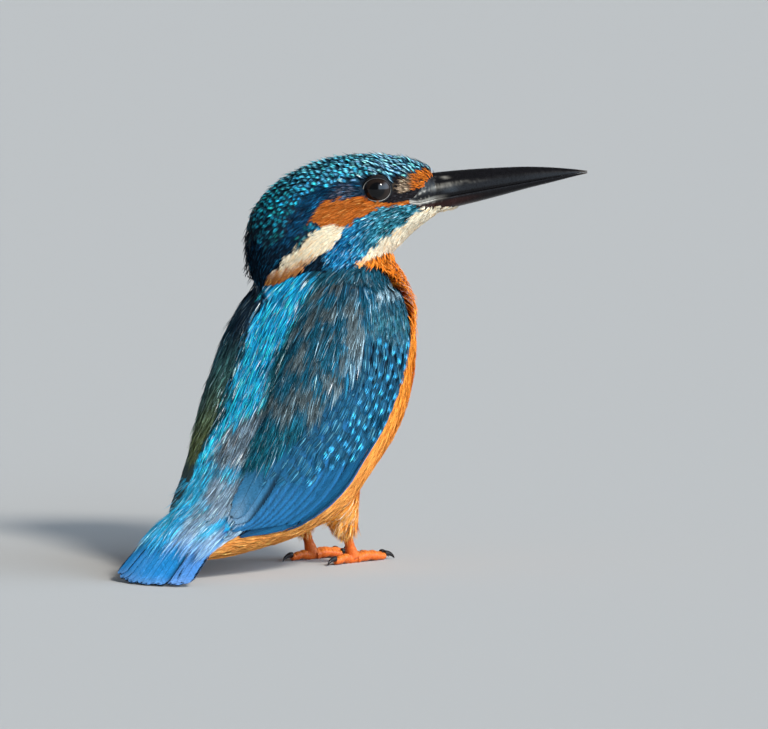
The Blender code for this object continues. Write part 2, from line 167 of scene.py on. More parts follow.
def new_mesh(name, points, tris, colours, uvs=None):
    """An object from points in millimetres and triangles, with a colour and a UV for each point."""
    points, tris = to_scene(points).astype(np.float32), np.asarray(tris, np.int32)
    mesh = bpy.data.meshes.new(name)
    mesh.vertices.add(len(points))
    mesh.vertices.foreach_set("co", points.ravel())
    mesh.loops.add(tris.size)
    mesh.loops.foreach_set("vertex_index", tris.ravel())
    mesh.polygons.add(len(tris))
    mesh.polygons.foreach_set("loop_start", np.arange(0, tris.size, 3, dtype=np.int32))
    mesh.polygons.foreach_set("use_smooth", np.ones(len(tris), bool))
    if uvs is not None:
        layer = mesh.uv_layers.new(name="OFBake")
        layer.data.foreach_set("uv", np.asarray(uvs, np.float32)[tris.ravel()].ravel())
    mesh.update(calc_edges=True)
    rgba = np.ones((len(points), 4), np.float32)
    rgba[:, :3] = np.clip(colours, 0, 1)
    mesh.color_attributes.new("Col", "FLOAT_COLOR", "POINT").data.foreach_set("color", rgba.ravel())
    return linked(name, mesh)


def add_node(tree, kind, inputs, **settings):
    """A shader node; each of its inputs is a value or the socket that feeds it."""
    made = tree.nodes.new("ShaderNode" + kind)
    for key, value in settings.items():
        setattr(made, key, value)
    for key, value in inputs.items():
        if isinstance(value, bpy.types.NodeSocket):
            tree.links.new(value, made.inputs[key])
        else:
            made.inputs[key].default_value = value
    return made


def feather_material(name, roughness, grain, specular, scale=2600):
    """The mesh's own colours, with the fine grain of the barbs in brightness, roughness and bump."""
    made = bpy.data.materials.new(name)
    made.use_nodes = True
    tree = made.node_tree
    shader = tree.nodes["Principled BSDF"]
    colour = add_node(tree, "VertexColor", {}, layer_name="Col").outputs["Color"]
    place = add_node(tree, "TexCoord", {}).outputs["Object"]
    grains = add_node(tree, "TexNoise", {"Vector": place, "Scale": scale, "Detail": 3}).outputs["Fac"]
    spread = add_node(tree, "MapRange", {
        "Value": grains, "From Min": 0.25, "From Max": 0.75,
        "To Min": 1 - grain * 2, "To Max": 1 + grain * 2})
    tint = add_node(tree, "Mix", {"Factor": 1.0}, data_type="RGBA", blend_type="MULTIPLY")
    tree.links.new(colour, tint.inputs["A"])
    tree.links.new(spread.outputs["Result"], tint.inputs["B"])
    tree.links.new(tint.outputs["Result"], shader.inputs["Base Color"])
    shader.inputs["Roughness"].default_value = roughness
    if grain:
        low, high = roughness - 0.1, roughness + 0.12
        rough = add_node(tree, "MapRange", {"Value": grains, "To Min": low, "To Max": high})
        tree.links.new(rough.outputs["Result"], shader.inputs["Roughness"])
        bump = add_node(tree, "Bump", {"Height": grains, "Strength": 0.25, "Distance": 0.08 * MM})
        tree.links.new(bump.outputs["Normal"], shader.inputs["Normal"])
    shader.inputs["Specular IOR Level"].default_value = specular
    return made


def dress(obj, surface, slot, *replaced):
    obj.data.materials.append(surface)
    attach(obj, "root")
    if replaced:
        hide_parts(*replaced)


def melted(mesh, voxel, rounds, swell=0.0):
    """Points, normals and triangles of a form that is swollen, melted into one skin and softened."""
    form = linked(mesh.name, mesh)
    if swell:
        grown = form.modifiers.new("swell", "DISPLACE")
        grown.strength, grown.mid_level = swell * MM, 0.0
    melt = form.modifiers.new("melt", "REMESH")
    melt.mode, melt.voxel_size = "VOXEL", voxel * MM
    soften = form.modifiers.new("soften", "SMOOTH")
    soften.factor, soften.iterations = 0.5, rounds
    graph = bpy.context.evaluated_depsgraph_get()
    made = bpy.data.meshes.new_from_object(form.evaluated_get(graph), depsgraph=graph)
    bpy.data.objects.remove(form, do_unlink=True)
    made.calc_loop_triangles()
    points, normals = np.empty((2, len(made.vertices) * 3))
    made.vertices.foreach_get("co", points)
    made.vertices.foreach_get("normal", normals)
    tris = np.empty(len(made.loop_triangles) * 3, np.int32)
    made.loop_triangles.foreach_get("vertices", tris)
    return points.reshape(-1, 3) / MM, normals.reshape(-1, 3), tris.reshape(-1, 3)


# ---------------------------------------------------------------- the skin

FLESH = ("head", "neck", "trunk", "wing_left", "wing_right", "leg_left", "leg_right")
PLUG = ("bill_upper", "bill_lower", "eye_left", "eye_right")  # fill their own sockets while the skin is made
SWELL = 0.35  # closes the cuts while the skin is made
BILL_STOP = 27.5  # the skin ends this far ahead, inside the bill


def coat_depth(points):
    """How far the skin lies inside the solids."""
    head = points @ HEAD.T
    depth = mix(1.25, 0.7, smooth(68, 80, points[:, 2]))
    depth = mix(depth, 0.45, smooth(12, 22, head[:, 0]) * smooth(78, 86, points[:, 2]))
    depth = mix(depth, 1.3, smooth(23.5, 26.0, head[:, 0]) * smooth(84, 87.5, points[:, 2]))
    return mix(depth, 0.7, smooth(16, 8, points[:, 2]) * smooth(-20, -12, points[:, 0]))


def make_skin():
    """One closed skin through all the flesh, without the thin cuts between its solids."""
    bm = bmesh.new()
    for name in FLESH + PLUG:
        part = bmesh.new()
        part.from_mesh(NODES[name].data)
        bmesh.ops.remove_doubles(part, verts=part.verts, dist=1e-6)
        if name.startswith("bill"):
            cut = bmesh.ops.bisect_plane(part, geom=part.verts[:] + part.edges[:] + part.faces[:],
                                         plane_co=to_scene(HX * BILL_STOP), plane_no=HX, clear_outer=True)
            rim = [edge for edge in cut["geom_cut"] if isinstance(edge, bmesh.types.BMEdge)]
            bmesh.ops.holes_fill(part, edges=rim)
        mesh = bpy.data.meshes.new("part")
        part.to_mesh(mesh)
        part.free()
        bm.from_mesh(mesh)
        bpy.data.meshes.remove(mesh)
    mesh = bpy.data.meshes.new("skin_form")
    bm.to_mesh(mesh)
    bm.free()
    points, normals, tris = melted(mesh, 0.6, 10, SWELL)
    points -= ORIGIN
    points -= normals * (SWELL + coat_depth(points))[:, None]
    return points, unit(normals), tris


SKIN, SKIN_NORMALS, SKIN_TRIS = make_skin()


def tail_mesh():
    data = NODES["tail"].data
    data.calc_loop_triangles()
    points = np.array([v.co for v in data.vertices]) / MM - ORIGIN
    return points, np.array([t.vertices for t in data.loop_triangles])


TAIL, TAIL_TRIS = tail_mesh()
GROUND = BVHTree.FromPolygons(
    [Vector(p) for p in np.vstack([SKIN, TAIL])], np.vstack([SKIN_TRIS, TAIL_TRIS + len(SKIN)]).tolist()
)
SKIN_TREE = BVHTree.FromPolygons([Vector(p) for p in SKIN], SKIN_TRIS.tolist())


def laid(points, tree=GROUND):
    """The nearest places on the skin or tail, and the way out of it there."""
    found = [tree.find_nearest(Vector(p)) for p in np.asarray(points).reshape(-1, 3)]
    places = np.array([f[0] for f in found])
    outwards = np.array([f[1] for f in found])
    return places.reshape(np.shape(points)), outwards.reshape(np.shape(points))


# ---------------------------------------------------------------- where things are on the bird

LATTICE_STATIONS, LATTICE_ANGLES = np.linspace(0, 11, 133), np.arange(-180, 180, 2.0)
_station, _angle = np.meshgrid(LATTICE_STATIONS, LATTICE_ANGLES, indexing="ij")
_lattice = trunk_points(_station, _angle).reshape(-1, 3)
_tree = KDTree(len(_lattice))
for _i, _p in enumerate(_lattice):
    _tree.insert(_p, _i)
_tree.balance()


def on_trunk(points):
    """Each point's station down the trunk and its angle: 90 is the back, 0 the side, -90 the front.

    The angle is the same on the left and right."""
    found = np.array([_tree.find(p)[1] for p in points])
    station, angle = _station.ravel()[found], _angle.ravel()[found]
    folded = np.where(np.abs(angle) > 90, np.sign(angle) * 180 - angle, angle)
    return station, folded


def wing_edges():
    """Angles of the wing's inner (back) and front edges at stations down the trunk."""
    points = np.array([v.co for v in NODES["wing_right"].data.vertices]) / MM - ORIGIN
    station, angle = on_trunk(points)
    bins = np.arange(1.8, 9.4, 0.42)
    inner = [angle[np.abs(station - b) < 0.45].max() for b in bins]
    front = [angle[np.abs(station - b) < 0.45].min() for b in bins]
    return bins, np.array(inner), np.array(front)


EDGE_AT, EDGE_INNER, EDGE_FRONT = wing_edges()


# The scapulars' lower edge: station down the trunk, and the share of the wing's width that they cover.
SCAPULAR_EDGE = ((1.7, 2.3, 3.6, 4.6, 5.6, 6.4, 6.8), (0.75, 0.62, 0.58, 0.46, 0.36, 0.2, 0.0))


def on_wing(station, angle):
    """0 at the wing's inner edge, 1 at its front edge."""
    inner, front = np.interp(station, EDGE_AT, EDGE_INNER), np.interp(station, EDGE_AT, EDGE_FRONT)
    return (inner - angle) / (inner - front)


def stroke(ahead, height, path, widths):
    """Distance from a tapering stroke drawn on the side of the head; negative inside it."""
    best = np.full(np.shape(ahead), 1e9)
    for (x0, z0), (x1, z1), w0, w1 in zip(path, path[1:], widths, widths[1:]):
        dx, dz = x1 - x0, z1 - z0
        f = np.clip(((ahead - x0) * dx + (height - z0) * dz) / (dx * dx + dz * dz), 0, 1)
        away = np.hypot(ahead - x0 - f * dx, height - z0 - f * dz)
        best = np.minimum(best, away - mix(w0, w1, f))
    return best


# Marks on the side of the head: path (ahead, height) and half-widths.
MARKS = {
    "malar": (((20.5, 87.2), (13.6, 85.3), (6.0, 80.2), (0.8, 74.8)), (0.9, 2.8, 3.8, 3.4)),
    "collar": (((0.4, 81.4), (-4.6, 78.3), (-9.8, 73.7), (-14.6, 69.8)), (1.9, 2.7, 1.8, 1.1)),
    "ear": (((19.4, 88.7), (15.0, 88.0), (12.0, 88.2), (9.4, 88.6), (6.0, 87.9), (1.8, 86.8), (-3.0, 86.0)),
            (0.25, 0.3, 0.4, 1.2, 2.8, 3.6, 2.7)),
    "cheek": (((7.2, 91.6), (-2.6, 91.0), (-7.2, 86.0), (-9.0, 81.6), (-12.4, 77.0)),
              (1.5, 1.8, 2.3, 2.1, 1.2)),
    "mask": (((13.0, 89.7), (19.0, 90.1), (24.0, 92.0)), (1.35, 1.4, 1.3)),
    "lore": (((16.4, 92.4), (18.8, 93.8), (23.7, 95.0)), (1.7, 1.9, 1.8)),
}
# The lower edge of the head's feathers, by distance ahead.
HEAD_EDGE = ((-23, -17, -9.6, -4.9, -1.5, 5.8, 9.4, 13, 30),
             (67.0, 68.2, 70.4, 71.8, 71.8, 72.6, 73.6, 74.6, 75.3))


def region_names(points):
    """The kind of feather that grows at each point."""
    head = points @ HEAD.T
    ahead, out, height = head[:, 0], np.abs(head[:, 1]), head[:, 2]
    station, angle = on_trunk(points)
    across = on_wing(station, angle)
    names = np.full(len(points), "breast", dtype="<U10")
    names[station > 7.3] = "vent"
    shoulder_edge = np.interp(station, (0.8, 1.0, 1.1, 1.25, 1.6, 2.2), (45, 26, 14, 5, -5, -9))
    names[(station < 2.2) & (angle > shoulder_edge)] = "shoulder"
    wing = (station > 1.9) & (station < 9.5) & (across >= 0) & (across <= 1)
    names[wing] = "wing"
    names[wing & (across < np.interp(station, *SCAPULAR_EDGE))] = "scapular"
    names[wing & (station < 3.2) & (across > 0.57)] = "shoulder"
    names[wing & (station > 8.3) & (across < 0.4)] = "rump"
    middle = points[:, 1] - np.interp(station, (1, 3, 6, 8), (1.5, 3.0, 1.5, 0.0))
    back = (angle > 8) & (np.abs(middle) < np.interp(station, (1, 2, 5, 7, 9), (5.5, 6.2, 6.6, 8.5, 9.5)))
    names[back | ((angle > 8) & (across < 0))] = "back"
    names[(names == "back") & (station > 6.6)] = "rump"
    names[(points[:, 2] < 17) & (points[:, 0] > -12)] = "thigh"
    uneven = (patches(points, 2.2, 9) - 0.5) * 1.8 * smooth(4, 8, ahead)
    is_head = height > np.interp(ahead, *HEAD_EDGE) + uneven
    names[is_head] = "crown"
    names[is_head & (ahead < 1 - (height - 70) * 0.2) & (height < 84)] = "nape"
    side = is_head & (out > 3.5)
    names[side & (ahead > 14.5) & (height < 95.0)] = "mask"
    chin_line = np.interp(height, (70, 75, 80, 84, 86, 88), (3.0, 7.0, 12.6, 17.8, 20.3, 23.0))
    low = side & (height < 89.5) & (ahead > -2 - (84 - height) * 0.9) & (ahead < chin_line)
    fit = {name: stroke(ahead, height, *MARKS[name]) for name in ("malar", "collar", "ear")}
    nearest = np.array(list(fit))[np.argmin(list(fit.values()), axis=0)]
    names[low] = nearest[low]
    gap = side & (ahead < 3) & (height < 78.5) & (fit["collar"] > 0) & (fit["malar"] > 0)
    names[gap] = "cheek"
    for name in MARKS:
        names[side & (stroke(ahead, height, *MARKS[name]) < 0)] = name
    mandible = np.interp(ahead, (19.3, 20.6, 22, 25), (88.2, 87.2, 86.5, 86.8))
    names[is_head & (ahead > chin_line) & (height < np.maximum(mandible, 86.6))] = "throat"
    bare = is_head & (out > 1.5) & (ahead > 19.3) & (height > mandible)
    names[bare & (height < 89.3 + (ahead - 19.6) * 0.98)] = "horn"
    names[is_head & (ahead > 25.6) & (height > 87.5)] = "horn"
    names[(points @ HEAD[0] > 30.2) & is_head] = "horn"
    eye = ((ahead - EYE_AHEAD) / 3.5) ** 2 + ((height - EYE_UP) / 2.95) ** 2 < 1
    names[(out > 5) & eye] = "eye"
    return names


# ---------------------------------------------------------------- the lie of the feathers

# Where (ahead, out to the side, up) and which way (the same axes): first in the head's frame.
HEAD_LIE = (
    ((25, 0, 97), (-1, 0, 0.30)),
    ((15, 0, 100), (-1, 0, 0.05)),
    ((2, 0, 100), (-1, 0, -0.1)),
    ((-12, 0, 95), (-0.8, 0, -0.62)),
    ((-20, 0, 82), (-0.2, 0, -1)),
    ((-20, 0, 70), (0.05, 0, -1)),
    ((22, 7, 92), (-1, 0.1, -0.05)),
    ((21, 5, 97), (-0.85, 0, 0.5)),
    ((13, 8, 98.5), (-0.9, 0, 0.4)),
    ((6, 10, 98), (-1, 0.05, 0.0)),
    ((12, 12, 86), (-0.95, 0.1, -0.3)),
    ((2, 14, 86), (-0.92, 0, -0.38)),
    ((-6, 14, 88), (-0.75, 0, -0.6)),
    ((-10, 13, 76), (-0.62, 0, -0.78)),
    ((10, 11, 80), (-0.74, 0, -0.67)),
    ((1, 14, 75), (-0.6, 0, -0.8)),
    ((24, 0, 85), (-0.95, 0, -0.35)),
    ((16, 0, 78), (-0.6, 0, -0.8)),
    ((14, 6, 76), (-0.45, 0, -0.9)),
)
BODY_LIE = (  # then in the body's
    ((-14, 0, 68), (-0.5, 0, -0.86)),
    ((-33, 0, 39), (-0.53, 0, -0.85)),
    ((-46, 0, 22), (-0.7, 0, -0.72)),
    ((-58, 0, 12), (-0.85, 0, -0.52)),
    ((2, 19, 66), (-0.3, 0, -0.95)),
    ((6, 21, 56), (-0.42, 0, -0.9)),
    ((-14, 20, 55), (-0.3, -0.05, -0.95)),
    ((-22, 19, 40), (-0.34, 0, -0.93)),
    ((-6, 22, 38), (-0.5, 0, -0.86)),
    ((-30, 17, 22), (-0.62, 0, -0.78)),
    ((14, 8, 66), (0.05, 0, -1)),
    ((14, 8, 50), (-0.12, 0, -1)),
    ((8, 14, 34), (-0.4, 0, -0.9)),
    ((0, 8, 22), (-0.66, 0, -0.74)),
    ((-12, 8, 12), (-0.93, 0, -0.35)),
    ((-12, 17, 22), (-0.75, 0, -0.65)),
    ((-35, 6, 5), (-1, 0, 0.0)),
    ((-2, 6.7, 8), (0.0, 0, -1)),
    ((-7, 7, 12), (0.1, 0, -1)),
    ((3, 7, 15), (-0.25, 0, -1)),
)


BLUR = 9.0  # square millimetres over which a guide's pull is even


def field(points, guides):
    """Directions blended from guides by nearness, mirrored to the right side."""
    side = np.where(points[:, 1:2] < 0, -1.0, 1.0)
    local = points * np.hstack([np.ones_like(side), side, np.ones_like(side)])
    total = np.zeros_like(points)
    for place, way in guides:
        weight = 1 / (((local - place) ** 2).sum(1) + BLUR) ** 2
        total += weight[:, None] * np.array(way)
    total[:, 1] *= side[:, 0]
    return unit(total)


def general_lie(points):
    head = points @ HEAD.T
    edge = np.interp(head[:, 0], *HEAD_EDGE)
    of_head = smooth(-2.5, 1.5, points[:, 2] - edge)[:, None]
    return field(head, HEAD_LIE) @ HEAD * of_head + field(points, BODY_LIE) * (1 - of_head)


def lie(points, normals):
    """Unit directions along the skin in which the feathers point."""
    way = general_lie(points)
    return unit(way - normals * (way * normals).sum(1, keepdims=True))


def lie_facing(points, normals):
    """How far each place faces the way its feathers would point; none grow on such a blunt end."""
    return (unit(general_lie(points)) * normals).sum(1)


# ---------------------------------------------------------------- colours

INK = np.array([0.004, 0.010, 0.018])
PITCH = np.array([0.012, 0.010, 0.011])
DEEP = np.array([0.005, 0.045, 0.070])
TEAL = np.array([0.012, 0.100, 0.130])
CYAN = np.array([0.020, 0.500, 0.640])
SPOT = np.array([0.008, 0.420, 0.820])
AZURE = np.array([0.015, 0.300, 0.580])
SKY = np.array([0.050, 0.540, 0.860])
NAVY = np.array([0.006, 0.080, 0.220])
BLUE = np.array([0.012, 0.130, 0.330])
FROST = np.array([0.450, 0.660, 0.760])
SMOKE = np.array([0.130, 0.145, 0.155])
BROWN = np.array([0.110, 0.075, 0.045])
RUST = np.array([0.500, 0.110, 0.014])
ORANGE = np.array([0.860, 0.270, 0.025])
BUFF = np.array([0.930, 0.460, 0.120])
CREAM = np.array([0.880, 0.760, 0.560])
AMBER = np.array([0.500, 0.200, 0.045])
FAWN = np.array([0.360, 0.250, 0.170])
DUSK, DUSK_LOW = np.array([0.060, 0.064, 0.084]), np.array([0.060, 0.062, 0.082])
DEEP_SKY = np.array([0.020, 0.270, 0.560])
BOTTLE = np.array([0.055, 0.170, 0.165])
MOSS = np.array([0.045, 0.060, 0.018])
OLIVE = np.array([0.150, 0.180, 0.070])


def plume(space, long, half, clear, fingers, root, mid, tip, streak, turns=(0.2, 0.5, 0.95), spot=2,
          vary=0.12, ragged=0.14, stir=0.1, rough=0.08):
    """A region's feathers: spacing, length, half-width and height of the tip over the skin, in millimetres;
    how many barbs; colours at root, middle and tip; (colour, share) of the odd barbs, with how much of the
    tip's colour is in them, if any; where the colours change along the length; a spot's half-width, if the
    tip's colour is one; how much the barbs' shades and lengths and the tufts' ways and heights differ."""
    return dict(space=space, long=long, half=half, clear=clear, fingers=fingers, root=root, mid=mid, tip=tip,
                streak=streak, turns=turns, spot=spot, vary=vary, ragged=ragged, stir=stir, rough=rough)


PLUMES = {
    "crown": plume(1.1, 2.5, 0.7, 0.7, 8, INK, INK + DEEP * 0.4, CYAN * 0.9, (FROST, 0.0), (0.4, 0.54, 0.66),
                   0.5, 0.3, 0.12, 0.13, 0.8),
    "brow": plume(1.1, 2.8, 0.55, 0.7, 7, INK, INK + DEEP * 0.6, CYAN * 0.5 + FROST * 0.5, (FROST, 0.04),
                  (0.3, 0.44, 0.56), 0.3, 0.3, 0.14, 0.12, 0.6),
    "nape": plume(1.2, 3.4, 0.7, 0.8, 8, INK, INK * 1.2, CYAN * 0.6, (TEAL, 0.04), (0.4, 0.6, 0.7),
                  0.4, 0.25, 0.25, 0.12, 0.4),
    # the cheek's azure odd barbs are painted highlights on its dark feathers
    "cheek": plume(0.75, 2.6, 0.42, 0.5, 7, INK, INK * 1.5, NAVY * 0.34 + DEEP * 0.3,
                   (AZURE * 0.6, 0.08, 0.4), (0.3, 0.5, 0.9), 2, 0.45, 0.2),
    "ear": plume(0.7, 2.8, 0.5, 0.5, 9, RUST * 0.3, RUST * 0.6, ORANGE * (0.46, 0.43, 0.9),
                 (BUFF * 0.6, 0.05), vary=0.3, ragged=0.25, stir=0.06),
    "lore": plume(0.5, 1.5, 0.26, 0.4, 6, RUST * 0.3, RUST * 0.7, ORANGE * (0.68, 0.6, 0.7), (INK, 0.13),
                  vary=0.4, ragged=0.25),
    "mask": plume(0.5, 1.3, 0.26, 0.25, 5, INK, PITCH, PITCH * 1.3, (SMOKE * 0.5, 0.04), vary=0.3),
    "collar": plume(0.75, 3.2, 0.55, 0.6, 9, CREAM * 0.45, CREAM * 0.75, CREAM * (0.94, 0.88, 0.78),
                    (BUFF * 0.9, 0.07), ragged=0.25, stir=0.06),
    "malar": plume(0.75, 2.3, 0.42, 0.5, 7, INK, BLUE * 0.5, AZURE * 0.72 + FROST * 0.02, (FROST * 0.6, 0.08),
                   (0.4, 0.55, 0.85), 2, 0.45, 0.2, 0.08, 0.2),
    "throat": plume(0.65, 2.4, 0.45, 0.5, 9, CREAM * 0.5, CREAM * 0.78, CREAM * (0.9, 0.87, 0.84),
                    (BUFF * 0.9, 0.08), ragged=0.25, stir=0.06),
    # the back's pale odd barbs are painted highlights, glints on its glossy barbs
    "back": plume(0.95, 6.5, 0.62, 1.0, 10, INK, AZURE * 0.5, SKY * (0.3, 0.76, 0.96), (FROST * 1.3, 0.08),
                  (0.25, 0.45, 0.9), 2, 0.75, 0.25, 0.06, 0.2),
    "rump": plume(1.0, 7.0, 0.7, 0.8, 10, DEEP, AZURE * 0.7, SKY * 0.8, (FROST, 0.10), (0.16, 0.42, 0.8),
                  2, 0.4, 0.25, 0.05),
    "cover": plume(1.0, 10.0, 0.75, 0.45, 10, NAVY, AZURE * 0.8, SKY * (0.6, 0.68, 0.68),
                   (FROST * 0.95, 0.14), (0.1, 0.3, 0.7), 2, 0.35, 0.2, 0.035, 0.25),
    "scapular": plume(0.85, 7.0, 0.7, 1.2, 11, INK, DEEP * (1, 1, 1.2), TEAL * (0.6, 0.82, 1.0),
                      (FROST * 0.45, 0.07), (0.25, 0.5, 0.9), 2, 0.6, 0.28, 0.08, 0.2),
    "shoulder": plume(0.8, 3.4, 0.6, 0.8, 10, INK, TEAL * 0.7, TEAL * 1.3 + SMOKE * 0.2, (FROST * 0.5, 0.07),
                      (0.3, 0.6, 0.9), 2, 0.45, 0.25),
    "covert": plume(1.0, 5.2, 1.15, 0.75, 14, INK, DEEP * (1.3, 1.25, 1.5), TEAL,
                    (TEAL * 1.6 + SMOKE * 0.4, 0.10), (0.5, 0.68, 0.75), 0.40, 0.35, 0.08, 0.04, 0.12),
    "breast": plume(0.82, 5.0, 0.62, 1.4, 10, ORANGE * 0.62, ORANGE * 0.82, ORANGE * 0.88, (BUFF, 0.11, 0.55),
                    vary=0.18, ragged=0.25, stir=0.06),
    "vent": plume(0.92, 5.4, 0.64, 1.0, 10, ORANGE * 0.5, ORANGE * 0.66, ORANGE * (0.8, 0.78, 0.9),
                  (BUFF + 0.05, 0.15, 0.4), vary=0.22, ragged=0.25, stir=0.07),
    "thigh": plume(0.65, 5.2, 0.5, 0.9, 9, RUST * 0.8, ORANGE, BUFF, (CREAM, 0.12), vary=0.2, ragged=0.35),
}
CHIN = dict(PLUMES["throat"], long=2.6, half=0.38, clear=0.22, fingers=8, vary=0.08, stir=0.08)
# The skin's colours are darker copies of the feathers' own: the under-layers, painted dark so that the gaps
# between tufts show as shade.
SHADED_SKIN_COLOUR = {
    "crown": INK, "brow": INK, "nape": INK, "cheek": INK * 2, "ear": RUST * 0.4, "lore": BROWN * 0.4,
    "mask": PITCH, "horn": PITCH, "collar": CREAM * 0.4, "malar": INK * 1.5, "throat": CREAM * 0.6,
    "back": DEEP, "rump": DEEP * 1.5, "scapular": INK * 2, "shoulder": INK * 2, "wing": INK * 2,
    "breast": ORANGE * 0.4, "vent": ORANGE * 0.4, "thigh": RUST * 0.7, "eye": INK,
}


# ---------------------------------------------------------------- tufts


def rng_for(name):
    return np.random.default_rng(sum(ord(c) * (i + 1) for i, c in enumerate(name)))


PLAIN, SPOTTED = (0, 0.25, 0.5, 0.75, 1), (0, 0.38, 0.56, 0.69, 0.86, 1)  # the levels along a barb
LIFT, SINK = 0.3, 0.15  # of the barbs' middles and roots
PATCH = 0.003  # each tuft's share of the UV map


def tufts(name, roots, normals, ways, spec, colours, length=None, half=None, clear=None, free=False,
          over=laid):
    """One mesh of many tufts, each a fan of flat barbs, side by side at its root and apart at its tip.

    Length, half-width and height are the plume's own unless they are given."""
    rng = rng_for(name)
    count, fingers = len(roots), spec["fingers"]
    share = np.array(SPOTTED if spec["spot"] < 2 else PLAIN, float)
    rows = len(share) - 1
    length, half, clear = (
        np.broadcast_to(spec[key] if given is None else given, (count,)).astype(float)
        for key, given in (("long", length), ("half", half), ("clear", clear)))
    free = np.broadcast_to(free, (count,))[:, None]  # free tips don't curl round the form
    length = length * rng.normal(1, 0.08, count).clip(0.75, 1.25)
    ways = unit(ways + rng.normal(0, spec["stir"], ways.shape))
    straight = roots + ways * length[:, None]
    tip, tip_out = over(straight)
    shift = tip - straight
    size = np.linalg.norm(shift, axis=1, keepdims=True)
    tip_out = np.where(free, normals, tip_out)
    tip = straight + shift * np.minimum(1, np.where(free, 0.0, 2.5) / np.maximum(size, 1e-6))
    tip = tip + tip_out * (clear * rng.normal(1, spec["rough"], count).clip(0.4, 1.9))[:, None]
    centre, centre_out = over((roots + tip) / 2)
    centre = centre + centre_out * (clear * (0.5 + LIFT))[:, None]
    root = roots - normals * SINK
    outer = unit(tip_out + normals * 0.5)

    c = (np.arange(fingers) + 0.5) / fingers * 2 - 1
    uneven = spec["ragged"] * rng.normal(0, 1, (count, fingers)).clip(-2, 1.5)
    reach = (1 - 0.24 * c[None, :] ** 2) * (1 + uneven)
    reach = np.minimum(reach, np.where(free, 1.08, 1.4))
    u = share[None, None, :] * reach[:, :, None]
    spread = 0.3 + 0.7 * np.sin(np.clip(u / 0.5, 0, 1) * math.pi / 2)
    drift = rng.normal(0, 0.10, (count, fingers))[:, :, None] * u**2
    lateral = c[None, :, None] * spread * (1 - 0.25 * np.clip(u - 0.6, 0, 1)) + drift
    thin = np.clip(1 - share**3.0, 0, 1)[None, None, :]
    wide = spread * thin * 1.25 / fingers

    def along(v):
        v = v[..., None]
        return (root[:, None, None, :] * (1 - v) * (1 - 2 * v) + centre[:, None, None, :] * 4 * v * (1 - v)
                + tip[:, None, None, :] * v * (2 * v - 1))

    line = along(u)
    upward = unit(normals[:, None, None, :] * (1 - u[..., None]) + outer[:, None, None, :] * u[..., None])
    heading = unit(tip - root)[:, None, None, :]
    side = unit(np.cross(upward, np.broadcast_to(heading, upward.shape)))
    size = half[:, None, None]
    camber = -0.10 * lateral**2 * size + rng.normal(0, 0.03, (count, fingers))[:, :, None] * size * u
    roll = rng.normal(0, 0.35, (count, fingers))[:, :, None] * wide * size
    middle = line + side * (lateral * size)[..., None] + upward * camber[..., None]
    offset = side * (wide * size)[..., None] + upward * roll[..., None]
    left, right = middle[:, :, :rows] - offset[:, :, :rows], middle[:, :, :rows] + offset[:, :, :rows]
    points = np.concatenate([left, right, middle[:, :, rows:]], axis=2)  # 2 * rows + 1 for each barb

    a = np.arange(rows - 1)
    ladder = np.concatenate([
        np.stack([a, a + rows, a + rows + 1], 1),
        np.stack([a, a + rows + 1, a + 1], 1),
        [[rows - 1, 2 * rows - 1, 2 * rows]],
    ])
    per = 2 * rows + 1
    tris = (np.arange(count * fingers) * per)[:, None, None] + ladder[None]

    root_colour, mid_colour, tip_colour = (np.broadcast_to(v, (count, 3)) for v in colours)
    first, second, third = spec["turns"]
    to_mid = smooth(0, first, u)[..., None]
    to_tip = smooth(second, third, u)
    if spec["spot"] < 2:
        beside = smooth(spec["spot"], spec["spot"] + 0.25, np.abs(c))[None, :, None]
        to_tip = to_tip * (1 - beside) * (1 - smooth(0.88, 0.98, u) * 0.85)
    paint = root_colour[:, None, None] * (1 - to_mid) + mid_colour[:, None, None] * to_mid
    paint = paint * (1 - to_tip[..., None]) + tip_colour[:, None, None] * to_tip[..., None]
    # The odd barbs take the streak colour; in the back's and the cheek's plumes these are painted highlights.
    streak, vary = (*spec["streak"], 0.0), spec["vary"]
    streaked = (rng.random((count, fingers)) < streak[1])[:, :, None] * smooth(0.15, 0.5, u)
    streaked = streaked * rng.uniform(0.4, 1, (count, fingers, 1))
    paint = mix(paint, mix(streak[0], tip_colour[:, None, None], streak[2]), streaked[..., None])
    shade = rng.normal(0, vary, (count, fingers, 1, 1)) + rng.normal(0, vary * 0.3, (count, 1, 1, 1))
    paint = paint * np.exp(shade)
    paint = np.concatenate([paint[:, :, :rows], paint[:, :, :rows], paint[:, :, rows:]], axis=2)

    flat = unwrap(roots)[:, None, None] + PATCH * np.stack([lateral * 0.45, u - 0.5], -1)
    nudge = np.zeros_like(flat)
    nudge[..., 0] = PATCH * 0.45 * wide
    flat = np.concatenate(
        [(flat - nudge)[:, :, :rows], (flat + nudge)[:, :, :rows], flat[:, :, rows:]], axis=2)
    return points.reshape(-1, 3), tris.reshape(-1, 3), paint.reshape(-1, 3), flat.reshape(-1, 2)


def unwrap(points):
    """Places on an unwrap of the skin: down the trunk and round it, with the head's own beside it."""
    station = np.array([_tree.find(p)[1] for p in points])
    body = np.stack([_station.ravel()[station] / 11 * 0.48, (_angle.ravel()[station] + 180) / 360], 1)
    head = points @ HEAD.T
    round_head = np.arctan2(head[:, 1], head[:, 2] - 82) / (2 * math.pi) + 0.5
    side = np.stack([0.52 + (head[:, 0] + 24) / 56 * 0.46, round_head], 1)
    is_head = points[:, 2] > np.interp(head[:, 0], *HEAD_EDGE)
    return np.where(is_head[:, None], side, body) * 0.98 + 0.01


